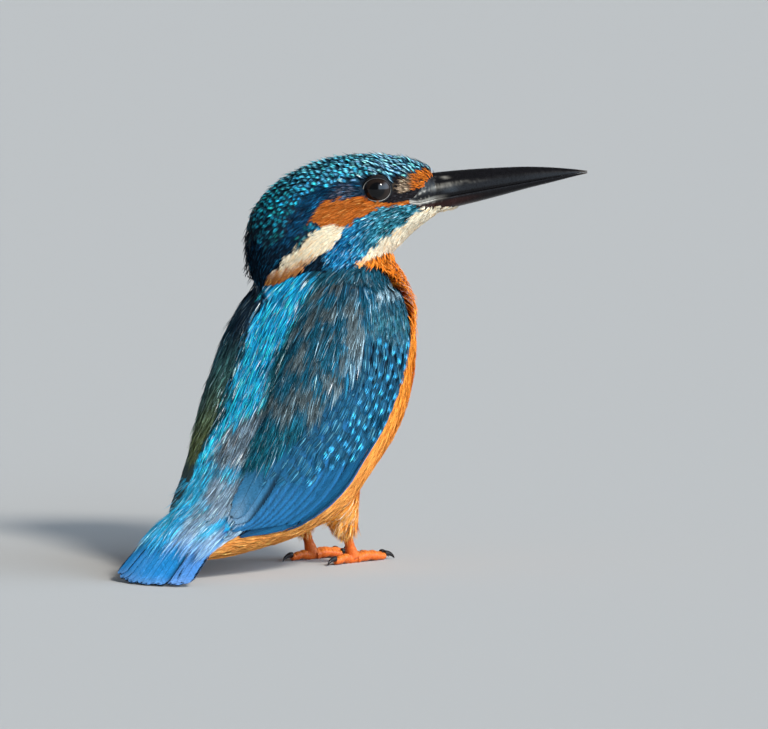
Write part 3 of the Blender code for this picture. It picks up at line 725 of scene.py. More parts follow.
def names_at_tips(points, normals, rng):
    """The regions where feathers rooted at the points show, so that the marks lie where they are drawn."""
    on_head = smooth(-2, 2, points[:, 2] - np.interp((points @ HEAD.T)[:, 0], *HEAD_EDGE))
    show = points + lie(points, normals) * mix(3.2, 1.6, on_head)[:, None]
    names = region_names(show + rng.normal(0, 0.18, points.shape))
    at_root = region_names(points)
    names[(at_root == "eye") | ((at_root == "horn") & (points[:, 2] > 88))] = "eye"
    names[(points @ HX > np.interp(points[:, 2], (92, 94), (24.7, 25.5))) & (points[:, 2] > 88)] = "eye"
    return names


NEAREST = 0.86  # of a region's spacing, between two roots


def scattered(wanted, seed):
    """Roots spread evenly over the skin, as far apart as their region's "space"."""
    rng = np.random.default_rng(seed)
    corners = SKIN[SKIN_TRIS]
    areas = np.linalg.norm(np.cross(corners[:, 1] - corners[:, 0], corners[:, 2] - corners[:, 0]), axis=1) / 2
    tightest = min(PLUMES[n]["space"] for n in wanted)
    count = int(areas.sum() / (0.14 * tightest**2))
    chosen = rng.choice(len(areas), count, p=areas / areas.sum())
    weights = rng.dirichlet((1, 1, 1), count)
    points = (corners[chosen] * weights[..., None]).sum(1)
    normals = unit((SKIN_NORMALS[SKIN_TRIS[chosen]] * weights[..., None]).sum(1))
    names = names_at_tips(points, normals, rng)
    keep = np.isin(names, wanted) & (lie_facing(points, normals) < np.where(names == "thigh", 0.9, 0.72))
    points, normals, names = points[keep], normals[keep], names[keep]
    space = np.array([PLUMES[n]["space"] for n in names])
    tree = KDTree(len(points))
    for i, p in enumerate(points):
        tree.insert(p, i)
    tree.balance()
    alive, taken = np.ones(len(points), bool), []
    for i in range(len(points)):
        if alive[i]:
            taken.append(i)
            for _, j, _ in tree.find_range(points[i], space[i] * NEAREST):
                alive[j] = False
    return points[taken], normals[taken], names[taken]


def own_colours(name, points, spec):
    """The region's three colours for each root, shaded over the body."""
    count, head = len(points), points @ HEAD.T
    ahead, height = head[:, 0], head[:, 2]
    _, y, z = points.T
    station, angle = on_trunk(points)
    root, mid_, tip = (np.tile(spec[k], (count, 1)) for k in ("root", "mid", "tip"))

    def rough_edged(values, spread, seed=name):
        return values + rng_for(seed).normal(0, spread, count)

    def blend(share, mid_colour, tip_colour, mid_most=1, tip_most=1):
        nonlocal mid_, tip
        share = share[:, None]
        if mid_colour is not None:
            mid_ = mix(mid_, mid_colour, share * mid_most)
        tip = mix(tip, tip_colour, share * tip_most)

    if name in ("breast", "vent"):
        cream = BUFF * (0.92, 0.92, 1.1)
        blend(smooth(52, 14, z) * 0.5 + smooth(10, 20, np.abs(y)) * 0.1, cream, cream, 0.7)
        blend(smooth(62, 72, z), RUST, ORANGE * (0.82, 0.66, 0.6), 0.6)
    if name == "collar":
        below = ahead * 0.63 - (height - 81.6) * 0.78  # from the mark's middle line towards its lower edge
        low = (77.2 - height) * 0.24 + below * 0.26 + patches(points, 2, 6) * 0.8 - 0.4
        blend(smooth(-0.15, 1.2, rough_edged(low, 0.22)), RUST * 0.7, AMBER, 0.9)
        # painted shade: the collar's lower end, towards the back, is darkened
        blend(smooth(73.5, 69.5, height), RUST * 0.4, RUST * 0.7, 0.8, 0.8)
    if name == "throat":
        blend(smooth(76.6, 73.4, rough_edged(height, 0.5)), ORANGE * 0.8, BUFF * (0.95, 0.85, 0.8))
    if name in ("crown", "brow", "nape"):
        tip = tip * np.random.default_rng(3).uniform(0.55, 1.25, (count, 1)) * (
            1 + np.random.default_rng(4).normal(0, 0.12, (count, 3)))
    dusk = smooth(1.5, 0.8, np.hypot((ahead - 4.6) / 2.8, (height - 91.2) / 1.5))  # a patch behind the eye
    if name == "crown":
        rng = rng_for("crown")
        sides = CYAN * (0.42, 0.29, 0.35) * rng.choice((0.25, 0.6, 1.0, 1.25), (count, 1))
        blend(smooth(92, 80, height), None, sides)
        blue = smooth(97, 93, height) * smooth(82, 87, height) * smooth(10, 5, ahead) * smooth(-11, -5, ahead)
        blend((blue * rng.uniform(0, 1.1, count)).clip(0, 0.9), None, DEEP_SKY)
        top = smooth(90, 98, height) * rng_for("frost").uniform(0.2, 1.2, count)
        blend(top, None, CYAN * 0.55 + FROST * 0.5, 1, 0.6)
        blend(dusk, None, DUSK)
    if name == "cheek":
        blend(dusk, None, DUSK_LOW)
        tip = tip * (0.5 + 1.1 * smooth(0.3, 0.7, patches(points, 1.8, 12)))[:, None]
        blend(smooth(83, 78, rough_edged(height, 0.8, "behind")), INK, INK * 1.5)
    if name == "nape":
        # the nape's tips darken to black low down and towards the back: partly its own dark colour, partly
        # painted shade
        tip = tip * (smooth(74, 88, height) * smooth(-21, -14, ahead))[:, None] + INK
    if name == "lore":
        dull = smooth(20.6, 19.2, ahead)
        mottled = rng_for("lore").uniform(0.4, 1.8, (count, 1))
        root = mix(root, BROWN * 0.3, dull[:, None])
        tip = tip * mottled.clip(0.55, 1.2)
        blend(dull, BROWN * 0.9, FAWN * mottled)
    if name == "malar":
        mottled = rng_for("malar").uniform(0.45, 1.75, (count, 1))
        blend(smooth(2, 14, ahead), TEAL * 0.6, CYAN * 0.36 + FROST * 0.13, 1, 0.9)
        tip = tip * mottled
        # painted shadow: a dark line along the head's lower edge and at the mark's rear end, where the head
        # shades the neck
        edge = height - np.interp(ahead, *HEAD_EDGE)
        shaded_rear = smooth(0.5, -1.5, ahead + 0.25 * (edge - 4))
        blend(np.maximum(smooth(1.8, 0.6, edge), shaded_rear), INK, INK * 1.5, 1, 0.9)
    if name == "back":
        blend(smooth(60, 35, z), AZURE * 0.8, SKY * (0.4, 0.9, 0.98), 0.6)
        edge = np.interp(station, (1.4, 2.6, 3.9, 4.75, 5.1, 5.7, 6.6),
                         (-5.5, -3.5, -2.5, -5.3, 0.6, 4.5, 3.5))
        low = smooth(4.6, 5.2, station)[:, None]
        blend(smooth(0.8, -0.8, rough_edged(y - edge, 0.7, "dull")), mix(DEEP, SMOKE * 0.6, low),
              mix(TEAL * 0.9, SMOKE * 1.25 + AZURE * 0.22, low))
        # painted shade: the back's left side, away from the light, is darkened
        left = np.interp(station, (1, 2, 3, 4, 4.8, 5.6, 6.2), (7.0, 8.3, 7.6, 6.6, 5.8, 6.6, 9.5))
        blend(smooth(-0.6, 0.8, rough_edged(y - left, 0.8, "shade")), INK * 1.5, DEEP * (2, 1.6, 1.2))
    if name in ("rump", "cover"):
        edge = np.interp(points[:, 0], (-66, -58, -50, -40, -34), (-1.5, 0.0, 0.5, 1.5, 4.0))
        grey = smooth(1.5, -1.5, y - edge) * smooth(0.22, 0.5, patches(points * (1, 1, 0.6), 5, 3))
        far = smooth(-48, -58, points[:, 0])
        if name == "cover":
            blend(far, None, np.array([0.030, 0.320, 0.700]), 1, 0.8)
        lilac = mix(SMOKE * (1.1, 1.2, 1.4), np.array([0.09, 0.25, 0.52]), far[:, None])
        blend(grey, lilac * 0.8, lilac * 1.5, 0.9, 0.9)
    across = on_wing(station, angle)
    if name == "scapular":
        lower = smooth(4.9, 5.4, station)
        blend(lower, None, TEAL * (0.5, 1.0, 1.05))
        # grey patches only on the right, lit side; the left is kept dark as painted shade
        grey = smooth(0.48, 0.62, patches(points * (1, 1, 0.45), 3.2, 1)) * (y < 2) * (1 - lower)
        blend(grey, SMOKE * (0.42, 0.38, 0.28), SMOKE * (0.95, 0.92, 0.80), 0.7, 0.65)
        near = smooth(0.16, 0.03, np.interp(station, *SCAPULAR_EDGE) - across)
        pale = near * smooth(4.6, 3.4, station) * (patches(points, 2, 4) > 0.42)
        blend(pale, None, FROST * 0.8, 1, 0.7)
        # painted shade: the left side, away from the light, is darker, and olive low down as a painted
        # reflection
        shaded_left = smooth(2, 6, y) * smooth(20, 12, y)
        blend(shaded_left, INK * 3, mix(BOTTLE, INK * 2, smooth(52, 62, z)[:, None]))
        blend(shaded_left * smooth(56, 34, z) * 0.9, MOSS, OLIVE)
    if name == "shoulder":
        # painted highlight: a pale line of tips across the shoulder, where the light catches it
        off = np.abs(station + 0.35 - np.interp(across, (0.5, 0.57, 0.82, 1.0), (2.6, 2.33, 1.92, 1.75)))
        pale = smooth(0.26, 0.08, off) * (across < 1.0) * (across > 0.45)
        blend(smooth(2.3, 3.1, station), DEEP * (1.3, 1.25, 1.5), TEAL * (0.8, 0.9, 1.2), 0.8, 0.8)
        blend(smooth(62, 66, z), DEEP, DEEP * 1.3)
        mid_ = mix(mid_, SMOKE * 0.4, smooth(0.5, 0.65, patches(points, 4, 2))[:, None] * 0.5)
        blend(pale, None, FROST * 0.8, 1, 0.9)
    return root, mid_, tip


def own_sizes(name, points, spec):
    """Length, half-width and height. The breast is broad and fluffed below the throat and flat beside the
    wings, the nape's edge stands out, and the eye is set a little into the feathers round it."""
    z = points[:, 2]
    head = points @ HEAD.T
    near = np.hypot((head[:, 0] - EYE_AHEAD) / 3.5, (head[:, 2] - EYE_UP) / 2.95)
    length, half = spec["long"], spec["half"]
    clear = spec["clear"] + 0.35 * smooth(2.0, 1.2, near) * (np.abs(head[:, 1]) > 5)
    if name == "thigh":
        length = length * mix(0.62, 1, smooth(8, 14, z))
    if name == "breast":
        length, half = length * mix(0.6, 1, smooth(71, 62, z)), half * mix(1, 1.45, smooth(54, 62, z))
        clear = clear * mix(0.7, 1, smooth(-4, 6, points[:, 0])) + 1.5 * smooth(60, 67, z) * smooth(77, 71, z)
    if name in ("breast", "vent"):
        station, angle = on_trunk(points)
        clear = clear * mix(1, 0.4, smooth(1.4, 1.05, on_wing(station, angle)) * smooth(2.2, 3.0, station))
    if name == "nape":
        length, clear = length * mix(0.62, 1, smooth(71, 77, z)), clear + 0.3 * smooth(78, 70, z)
    return length, half, clear


def hangs_free(name, points):
    z = points[:, 2]
    chin = (points @ HX > 13.5) & (z > 76.5) & (z < 80.5)
    return (name == "thigh") & (z < 13) | (name == "nape") & (z < 76) | (name == "throat") & chin


def cover_table():
    """Heights over the tail's line of an even cover that bridges the hollows from the rump to the tail."""
    along, across = np.arange(-14, 37.0), np.arange(-15, 16.0)
    high = np.full((len(along), len(across)), np.nan)
    for i, u in enumerate(along):
        for j, v in enumerate(across):
            start = TAIL_ROOT + TAIL_WAY * u + TAIL_UP * 30 + (0, v, 0)
            hit = GROUND.ray_cast(Vector(start), Vector(-TAIL_UP))[0]
            if hit:
                high[i, j] = (np.array(hit) - TAIL_ROOT) @ TAIL_UP
        known = np.nonzero(~np.isnan(high[i]))[0]
        if len(known):
            off = np.arange(len(across))
            edge = np.clip(off, known[0], known[-1])
            high[i] = np.interp(off, known, high[i, known]) - 0.4 * np.abs(off - edge)
        else:
            high[i] = high[i - 1] - 0.3
    for _ in range(12):
        wide = np.pad(high, 1, mode="edge")
        even = (wide[:-2, 1:-1] + wide[2:, 1:-1] + wide[1:-1, :-2] + wide[1:-1, 2:]) / 4
        high = np.maximum(high, even)
    return along, across, high


def on_cover(points):
    """Places on that cover over or under the given points, and the way out of it."""
    along, across, high = COVER
    u, v = (points - TAIL_ROOT) @ TAIL_WAY, points[..., 1]

    def height(u, v):
        i = np.clip(u - along[0], 0, len(along) - 1.001)
        j = np.clip(v - across[0], 0, len(across) - 1.001)
        i0, j0 = i.astype(int), j.astype(int)
        fi, fj = i - i0, j - j0
        right, left = (mix(high[i0, column], high[i0 + 1, column], fi) for column in (j0, j0 + 1))
        return mix(right, left, fj)

    h = height(u, v)
    sideways = np.array([0, 1.0, 0])
    place = TAIL_ROOT + u[..., None] * TAIL_WAY + v[..., None] * sideways + h[..., None] * TAIL_UP
    rise_u, rise_v = (height(u + 1, v) - height(u - 1, v)) / 2, (height(u, v + 1) - height(u, v - 1)) / 2
    return place, unit(TAIL_UP - rise_u[..., None] * TAIL_WAY - rise_v[..., None] * sideways)


def tail_coverts():
    """The long feathers that cover the end of the rump and most of the tail."""
    rng = np.random.default_rng(21)
    spec = PLUMES["cover"]
    across, reach = np.meshgrid(np.arange(-0.96, 0.97, 0.076), np.arange(-6, 15.5, 0.95))
    across = across.ravel() + rng.normal(0, 0.03, across.size)
    reach = reach.ravel() - np.where(across < 0, 0.0, 2.5) * across**2 + rng.normal(0, 0.6, across.size)
    half = np.interp(reach, (-8, 0, 5, 9, 16), (11.5, 10.6, 9.4, 9.2, 9.6))
    half = np.where(across < 0, half * np.interp(reach, (-6, 4, 9, 15), (0.45, 0.66, 1.0, 1.16)), half)
    points = TAIL_ROOT + TAIL_WAY * reach[:, None] + np.stack([0 * half, across * half, 0 * half], -1)
    points, normals = on_cover(points)
    ways = unit(TAIL_WAY + np.array([0, 0.05, 0]) * across[:, None])
    made = tufts("cover", points, normals, ways, spec, own_colours("cover", points, spec), over=on_cover)
    u, share = np.meshgrid(np.arange(-3, 17.5, 0.8), np.linspace(-0.9, 0.9, 21), indexing="ij")
    half = np.interp(u, (-3, 0, 5, 9, 16), (9.0, 8.6, 8.6, 8.8, 9.2))
    under = TAIL_ROOT + TAIL_WAY * u[..., None] + np.stack([0 * u, share * half, 0 * u], -1)
    under, out = on_cover(under)
    under = (under - out * 0.15).reshape(-1, 3)
    i, j = np.meshgrid(np.arange(u.shape[0] - 1), np.arange(u.shape[1] - 1), indexing="ij")
    a = (i * u.shape[1] + j).ravel()
    sheet = np.concatenate([np.stack([a, a + u.shape[1], a + 1], 1),
                            np.stack([a + 1, a + u.shape[1], a + u.shape[1] + 1], 1)])
    return joined([made, (under, sheet, np.tile(NAVY, (len(under), 1)), unwrap(under))])


def chin_tufts():
    """The chin's last feathers, laid back along the underside of the bill."""
    rng = np.random.default_rng(22)
    ahead, turn = np.meshgrid(np.arange(23.5, 31.2, 0.5), np.radians(np.arange(-50, 51, 12.5)))
    ahead = ahead.ravel() + rng.normal(0, 0.12, ahead.size)
    turn = turn.ravel() + rng.normal(0, 0.06, ahead.size)
    _, gape, bottom, half = curve([row[0] for row in BILL], [row[1:] for row in BILL], ahead).T
    turn = turn * mix(1.0, 0.55, smooth(28, 31, ahead))
    points = (HX * ahead[:, None] + HY * (np.sin(turn) * (half + 0.15))[:, None]
              + UP * (gape - np.cos(turn) ** 0.8 * (gape - bottom + 0.1))[:, None])
    normals = unit(HY * np.sin(turn)[:, None] - UP * np.cos(turn)[:, None])
    ways = np.tile(unit(HX * -1 + UP * -0.22), (len(points), 1))
    return tufts("chin", points, normals, ways, CHIN, own_colours("throat", points, CHIN), free=True,
                 over=lambda p: (p, np.tile(-UP, (len(p), 1))))


def crown_rows():
    """Roots in staggered rows across the head, from the bill over the crown and down the nape."""
    pivot, roots = HX * 17 + UP * 68, []
    for number, turn in enumerate(np.radians(np.arange(71, 200, 2.1))):
        e = HX * math.cos(turn) + UP * math.sin(turn)
        top = SKIN_TREE.ray_cast(Vector(pivot + e * 70), Vector(-e))[0]
        centre = pivot + (np.array(top) - pivot) * 0.6
        arc = []
        for tilt in np.radians(np.arange(-129, 130, 3)):
            d = e * math.cos(tilt) + HY * math.sin(tilt)
            arc.append(SKIN_TREE.ray_cast(Vector(centre + d * 50), Vector(-d))[0] or centre)
        arc = np.array(arc)
        run = np.append(0, np.cumsum(np.linalg.norm(np.diff(arc, axis=0), axis=1)))
        marks = run[len(run) // 2] + (np.arange(-40, 41) + 0.5 * (number % 2)) * 1.15
        marks = marks[(marks > 0) & (marks < run[-1])]
        roots.append(np.stack([np.interp(marks, run, arc[:, i]) for i in range(3)], -1))
    roots = np.concatenate(roots)
    roots += np.random.default_rng(5).normal(0, 0.1, roots.shape)
    found = [SKIN_TREE.find_nearest(Vector(p)) for p in roots]
    normals = unit([SKIN_NORMALS[SKIN_TRIS[f[2]]].mean(0) for f in found])
    rng = np.random.default_rng(6)
    names = names_at_tips(roots, normals, rng)
    names[(names == "crown") & (roots @ HX + rng.normal(0, 2.6, len(roots)) > 8)] = "brow"
    shuffled = roots[:, 2] + rng.normal(0, 2.2, len(roots)) < 83.5
    back_of_head = np.isin(names, ("crown", "nape")) & (roots @ HX < 1 - (roots[:, 2] - 70) * 0.2)
    names[back_of_head] = np.where(shuffled, "nape", "crown")[back_of_head]
    return np.array([f[0] for f in found]), normals, names


def coat(name, regions, seed, material, slot, given=None, extra=None):
    """A coat piece over the given regions."""
    points, normals, names = given or scattered(regions, seed)
    ways = lie(points, normals)
    pieces = [extra] if extra else []
    for region in regions:
        here = names == region
        if here.any():
            spec, at = PLUMES[region], points[here]
            pieces.append(tufts(
                name + region, at, normals[here], ways[here], spec, own_colours(region, at, spec),
                *own_sizes(region, at, spec), hangs_free(region, at)))
    dress(new_mesh(name, *joined(pieces)), material, slot)


# ---------------------------------------------------------------- feathers with a shaft and webs

ROD_LEVELS = 10  # along a shaft, with three points on each


def sample(line, s):
    """Points at the shares s along lines of evenly spaced points."""
    last = line.shape[1] - 1
    i = np.clip((s * last).astype(int), 0, last - 1)
    f = (s * last - i)[..., None]
    n = np.arange(len(line)).reshape((-1,) + (1,) * (s.ndim - 1))
    return line[n, i] * (1 - f) + line[n, i + 1] * f


def vanes(name, line, out, half, paint, uv, barbs, lean, ragged, root_wide, blunt, camber, shaft):
    """Feathers along centre lines: barbs close together slant out from the shaft to both sides."""
    rng = rng_for(name)
    count, levels = len(line), 4
    side = unit(np.cross(out, unit(np.gradient(line, axis=1))))
    half = np.broadcast_to(half, (count,)).astype(float)
    start = (np.arange(barbs) + 0.5) / barbs * 0.985
    end = start + (1 - start) * (1 - np.exp(-lean / (1 - start + 0.02)))
    c = np.linspace(0, 1, levels)
    share = start[:, None] + (end - start)[:, None] * c[None, :] ** 0.85
    step = 0.62 / barbs * np.array([1, 1, 1, 0.4])
    s = np.clip(np.stack([share - step, share + step], -1), 0, 1)  # barb, level, lower or upper edge
    s = np.broadcast_to(s, (count, 2, barbs, levels, 2))
    sign = np.array([-1, 1])[None, :, None, None, None]
    reach = 1 + ragged * rng.normal(0, 1, (count, 2, barbs, 1, 1)).clip(-2, 2) * c[:, None] ** 2
    tip = np.clip((s - (1 - blunt)) / blunt, 0, 1)
    wide = (root_wide + (1 - root_wide) * smooth(0, 0.35, s)) * np.sqrt(1 - tip**2.2)
    across = sign * c[:, None] * reach * wide
    size = half[:, None, None, None, None]
    edge = np.array([0.5, -0.5]) * 0.05 + rng.normal(0, 0.012, (count, 2, barbs, 1, 1))
    rise = -camber * size * across**2 + edge * c[:, None]
    points = sample(line, s) + sample(side, s) * (across * size)[..., None] + sample(out, s) * rise[..., None]
    number = np.broadcast_to(np.arange(count)[:, None, None, None, None], s.shape)
    colours = paint(s, across, number) * np.exp(rng.normal(0, 0.06, (count, 2, barbs, 1, 1, 1)))
    flat = np.stack([across * 0.45, s - 0.5], -1) * PATCH + uv[:, None, None, None, None, :]

    a = np.arange(levels - 1) * 2
    quads = np.concatenate([np.stack([a, a + 1, a + 3], 1), np.stack([a, a + 3, a + 2], 1)])
    tris = (np.arange(count * 2 * barbs) * levels * 2).reshape(count, 2, barbs, 1, 1) + quads
    tris[:, 0] = tris[:, 0][..., ::-1]
    webs = points.reshape(-1, 3), tris.reshape(-1, 3), colours.reshape(-1, 3), flat.reshape(-1, 2)
    s = np.broadcast_to(np.linspace(0, 0.97, ROD_LEVELS)[:, None], (count, ROD_LEVELS, 3))
    offset = np.array([-1, 0, 1]) * shaft * (1 - 0.75 * s)
    lift = 0.02 + np.array([0, 1, 0]) * shaft * 0.7 * (1 - 0.7 * s)
    rod = sample(line, s) + sample(side, s) * offset[..., None] + sample(out, s) * lift[..., None]
    number = np.broadcast_to(np.arange(count)[:, None, None], s.shape)
    paint_rod = paint(s, s * 0, number) * 0.35 + 0.002
    flat_rod = np.stack([s * 0, s - 0.5], -1) * PATCH + uv[:, None, None, :]
    a = (np.arange(ROD_LEVELS - 1)[:, None] * 3 + np.arange(2)).ravel()
    quads = np.concatenate([np.stack([a, a + 1, a + 4], 1), np.stack([a, a + 4, a + 3], 1)])
    tris = (np.arange(count) * ROD_LEVELS * 3)[:, None, None] + quads
    rods = rod.reshape(-1, 3), tris.reshape(-1, 3), paint_rod.reshape(-1, 3), flat_rod.reshape(-1, 2)
    return joined([webs, rods])


def joined(parts):
    """Several (points, triangles, colours, uvs) as one."""
    firsts = np.cumsum([0] + [len(part[0]) for part in parts])
    tris = np.concatenate([part[1] + first for part, first in zip(parts, firsts)])
    points, colours, flat = (np.concatenate([part[k] for part in parts]) for k in (0, 2, 3))
    return points, tris, colours, flat


def draped(path, clear):
    """Lines (count, K, 3) laid on the skin, "clear" above it, with the way out of it."""
    places, outwards = laid(path)
    outwards = unit(outwards + outwards.mean(1, keepdims=True))
    return places + outwards * clear[..., None], outwards


# ---------------------------------------------------------------- wings

ARC_SHARES = np.linspace(0, 1, 41)


def wing_at(side, station, across):
    """Points over a wing. side is 1 for the left and -1 for the right; across is 0 at its inner edge."""
    inner, front = np.interp(station, EDGE_AT, EDGE_INNER), np.interp(station, EDGE_AT, EDGE_FRONT)
    return trunk_points(station, inner + (front - inner) * across) * (1, side, 1)


def arc_table():
    """Millimetres from the wing's front edge to each of ARC_SHARES, at the stations EDGE_AT."""
    rows = wing_at(1, EDGE_AT[:, None], 1 - ARC_SHARES[None, :])
    steps = np.linalg.norm(np.diff(rows, axis=1), axis=2)
    return np.hstack([np.zeros((len(rows), 1)), np.cumsum(steps, axis=1)])


ARCS = arc_table()


def inward(station, mm):
    """The share of the wing's width that lies "mm" in from its front edge."""
    station, mm = np.broadcast_arrays(station, mm)
    rows = np.stack([np.interp(station.ravel(), EDGE_AT, ARCS[:, k]) for k in range(ARCS.shape[1])], -1)
    shares = [1 - np.interp(m, row, ARC_SHARES) for m, row in zip(mm.ravel(), rows)]
    return np.array(shares).reshape(station.shape)


def covert_rows(side):
    """Each covert's place, how far in and down its row, with the row's distances, points and stations."""
    fine, step = np.linspace(1.9, 7.4, 120), 3.4
    for number in range(8):
        mm = 1.6 + 2.8 * number
        line = wing_at(side, fine, inward(fine, mm))
        run = np.append(0, np.cumsum(np.linalg.norm(np.diff(line, axis=0), axis=1)))
        for d in np.arange(2.5 + 0.5 * step * (number % 2), run[-1], step):
            yield mm, d, run, line, fine


def make_coverts(side, name):
    """The wing's small feathers: hair-like teal tufts in rows, many with a bright spot near the tip."""
    rng, spec = rng_for("coverts" + name), PLUMES["covert"]
    found = []
    for mm, d, run, line, fine in covert_rows(side):
        d, mm = d + rng.normal(0, 0.3), mm + rng.normal(0, 0.2)
        station = np.interp(d, run, fine)
        scapular = np.interp(station, *SCAPULAR_EDGE)
        across = 1 - mm / np.interp(station, EDGE_AT, ARCS[:, -1])
        if across < scapular - 0.12 or station > 5.75 + mm * 0.1 or station < 2.2:
            continue
        for bare in (False, True):  # a spotted feather, and a plain one over its edge
            here = np.array([d - 5.2, d]) + (1.7 * bare)
            pair = np.stack([np.interp(here, run, line[:, k]) for k in range(3)], -1)
            pair += np.maximum(-here, 0)[:, None] * unit(line[0] - line[3])
            found.append((*pair, float(not bare and 3.1 < station and mm < 14.5), smooth(3.6, 2.4, station),
                          (0.8 if bare else 1.2) + 0.25 * smooth(3, 6, station),
                          spec["clear"] * (0.55 if bare else 1.15)))
    roots, ends, spotted, high, widths, clears = (np.array(column) for column in zip(*found))
    places, normals = laid(roots)
    count = len(places)
    mid_ = mix(spec["mid"], TEAL * 0.8 + SMOKE * 0.1, high[:, None] * 0.3) * rng.uniform(0.8, 1.2, (count, 1))
    tip = mix(mid_ * 1.15, SPOT * rng.uniform(0.7, 1.3, (count, 1)) + FROST * 0.12, spotted[:, None])
    return tufts("coverts" + name, places, normals, unit(ends - roots), spec, (spec["root"], mid_, tip),
                 np.linalg.norm(ends - roots, axis=1), widths, clears)


def make_blades(side, name):
    """Primaries at the front edge, secondaries over them and tertials on top, towards the back."""
    rows = [(1.0, 4.0, 8.3, 1.5, 1.2, 0), (0.93, 4.4, 9.0, 1.7, 0.40, 0), (0.86, 4.6, 9.3, 1.7, 0.44, 0)]
    rows += [(a, 4.0, 7.9 + 2.3 * (0.95 - a), 2.0, 0.5 + 0.035 * k, 1)
             for k, a in enumerate(np.linspace(0.95, 0.36, 8))]
    rows += [(0.26, 4.0, 8.9, 2.3, 0.90, 2), (0.12, 4.0, 8.7, 2.7, 1.10, 2)]
    fronts, first, last, halves, clear, kinds = np.array(rows).T
    share = np.linspace(0, 1, 13)
    paths = [wing_at(side, np.linspace(a, b, 13), across) for across, a, b in zip(fronts, first, last)]
    line, out = draped(np.array(paths), clear[:, None] * (0.4 + 0.6 * share))

    def paint(s, across, number):
        s, across = s[..., None], across[..., None]
        kind, front = kinds[number][..., None], fronts[number][..., None]
        lower = -across * side  # the web towards the front edge of the wing
        base = mix(NAVY * (1.0, 0.8, 0.62), BLUE * (1.1, 0.72, 0.58),
                   smooth(-0.5, 0.8, lower) * 0.8 + 0.2 * smooth(0.4, 0.9, s))
        base = mix(base, (0.03, 0.13, 0.24), (kind == 2) * smooth(0.45, 0.75, s))
        base = mix(base, (0.11, 0.20, 0.29),
                   (kind == 2) * smooth(0.7, 1.0, s) * smooth(0.9, 0.2, np.abs(across)))
        slit = (kind == 2) * (front > 0.2) * smooth(0.45, 0.75, lower) * smooth(0.5, 0.62, s)
        base = mix(base, INK, slit * 0.95)
        edge = (kind == 1) * smooth(0.50, 0.66, lower) * smooth(0.82, 0.72, lower)
        base = mix(base, INK * 2, (kind == 1) * smooth(0.80, 0.97, lower) * 0.5)
        base = mix(base, BLUE * (1.3, 1.1, 1.15), edge * 0.35)
        # painted shade and reflection: the left wing's tertials, away from the light, are dark olive
        if side > 0:
            base = mix(base, (0.045, 0.055, 0.030), (kind == 2) * 0.8)
        base = mix(base, INK * 3 + NAVY * 0.3, (kind == 0) * smooth(0.82, 0.97, s) * 0.8)
        rim = (front > 0.97) * smooth(0.0, 0.7, lower)
        return mix(base, (0.08, 0.17, 0.40), rim * 0.85 * smooth(0.93, 0.8, s))

    parts = []
    for kind, barbs, blunt in ((0, 60, 0.5), (1, 56, 0.14), (2, 56, 0.3)):
        pick = kinds == kind
        first = np.argmax(pick)
        parts.append(vanes(
            f"blades{name}{kind}", line[pick], out[pick], halves[pick],
            lambda s, a, n, first=first: paint(s, a, n + first), unwrap(line[pick][:, 0]), barbs=barbs,
            lean=0.10, ragged=0.03, blunt=blunt, root_wide=0.7, camber=0.04, shaft=0.13))
    return joined(parts)


# ---------------------------------------------------------------- tail

TAIL_ROOT, TAIL_TIP = np.array([-41.5, 0, 19.4]), np.array([-70.4, 0, 0.0])
TAIL_HALF = (7.4, 10.8)
TAIL_WAY = unit(TAIL_TIP - TAIL_ROOT)
TAIL_UP = unit(np.cross(TAIL_TIP - TAIL_ROOT, (0, -1, 0)))
TAIL_UP = TAIL_UP * np.sign(TAIL_UP[2])
COVER = cover_table()


def tail_at(across, reach, above):
    """Points over the tail: across is -1 at its right edge and 1 at its left, reach 1 at its tip."""
    half = TAIL_HALF[0] + (TAIL_HALF[1] - TAIL_HALF[0]) * np.clip(reach, 0, 1) ** 0.8
    middle = TAIL_ROOT + (TAIL_TIP - TAIL_ROOT) * reach[..., None]
    middle = middle + TAIL_UP * (1.4 * np.sin(math.pi * reach) + above)[..., None]
    drop = np.where(across > 0, 0.7, 2.6) * across**2 * (1 - 0.65 * reach)
    p = middle + np.stack([0 * half, across * half, -drop], -1)
    p[..., 2] = np.maximum(p[..., 2], 0.12)
    return p


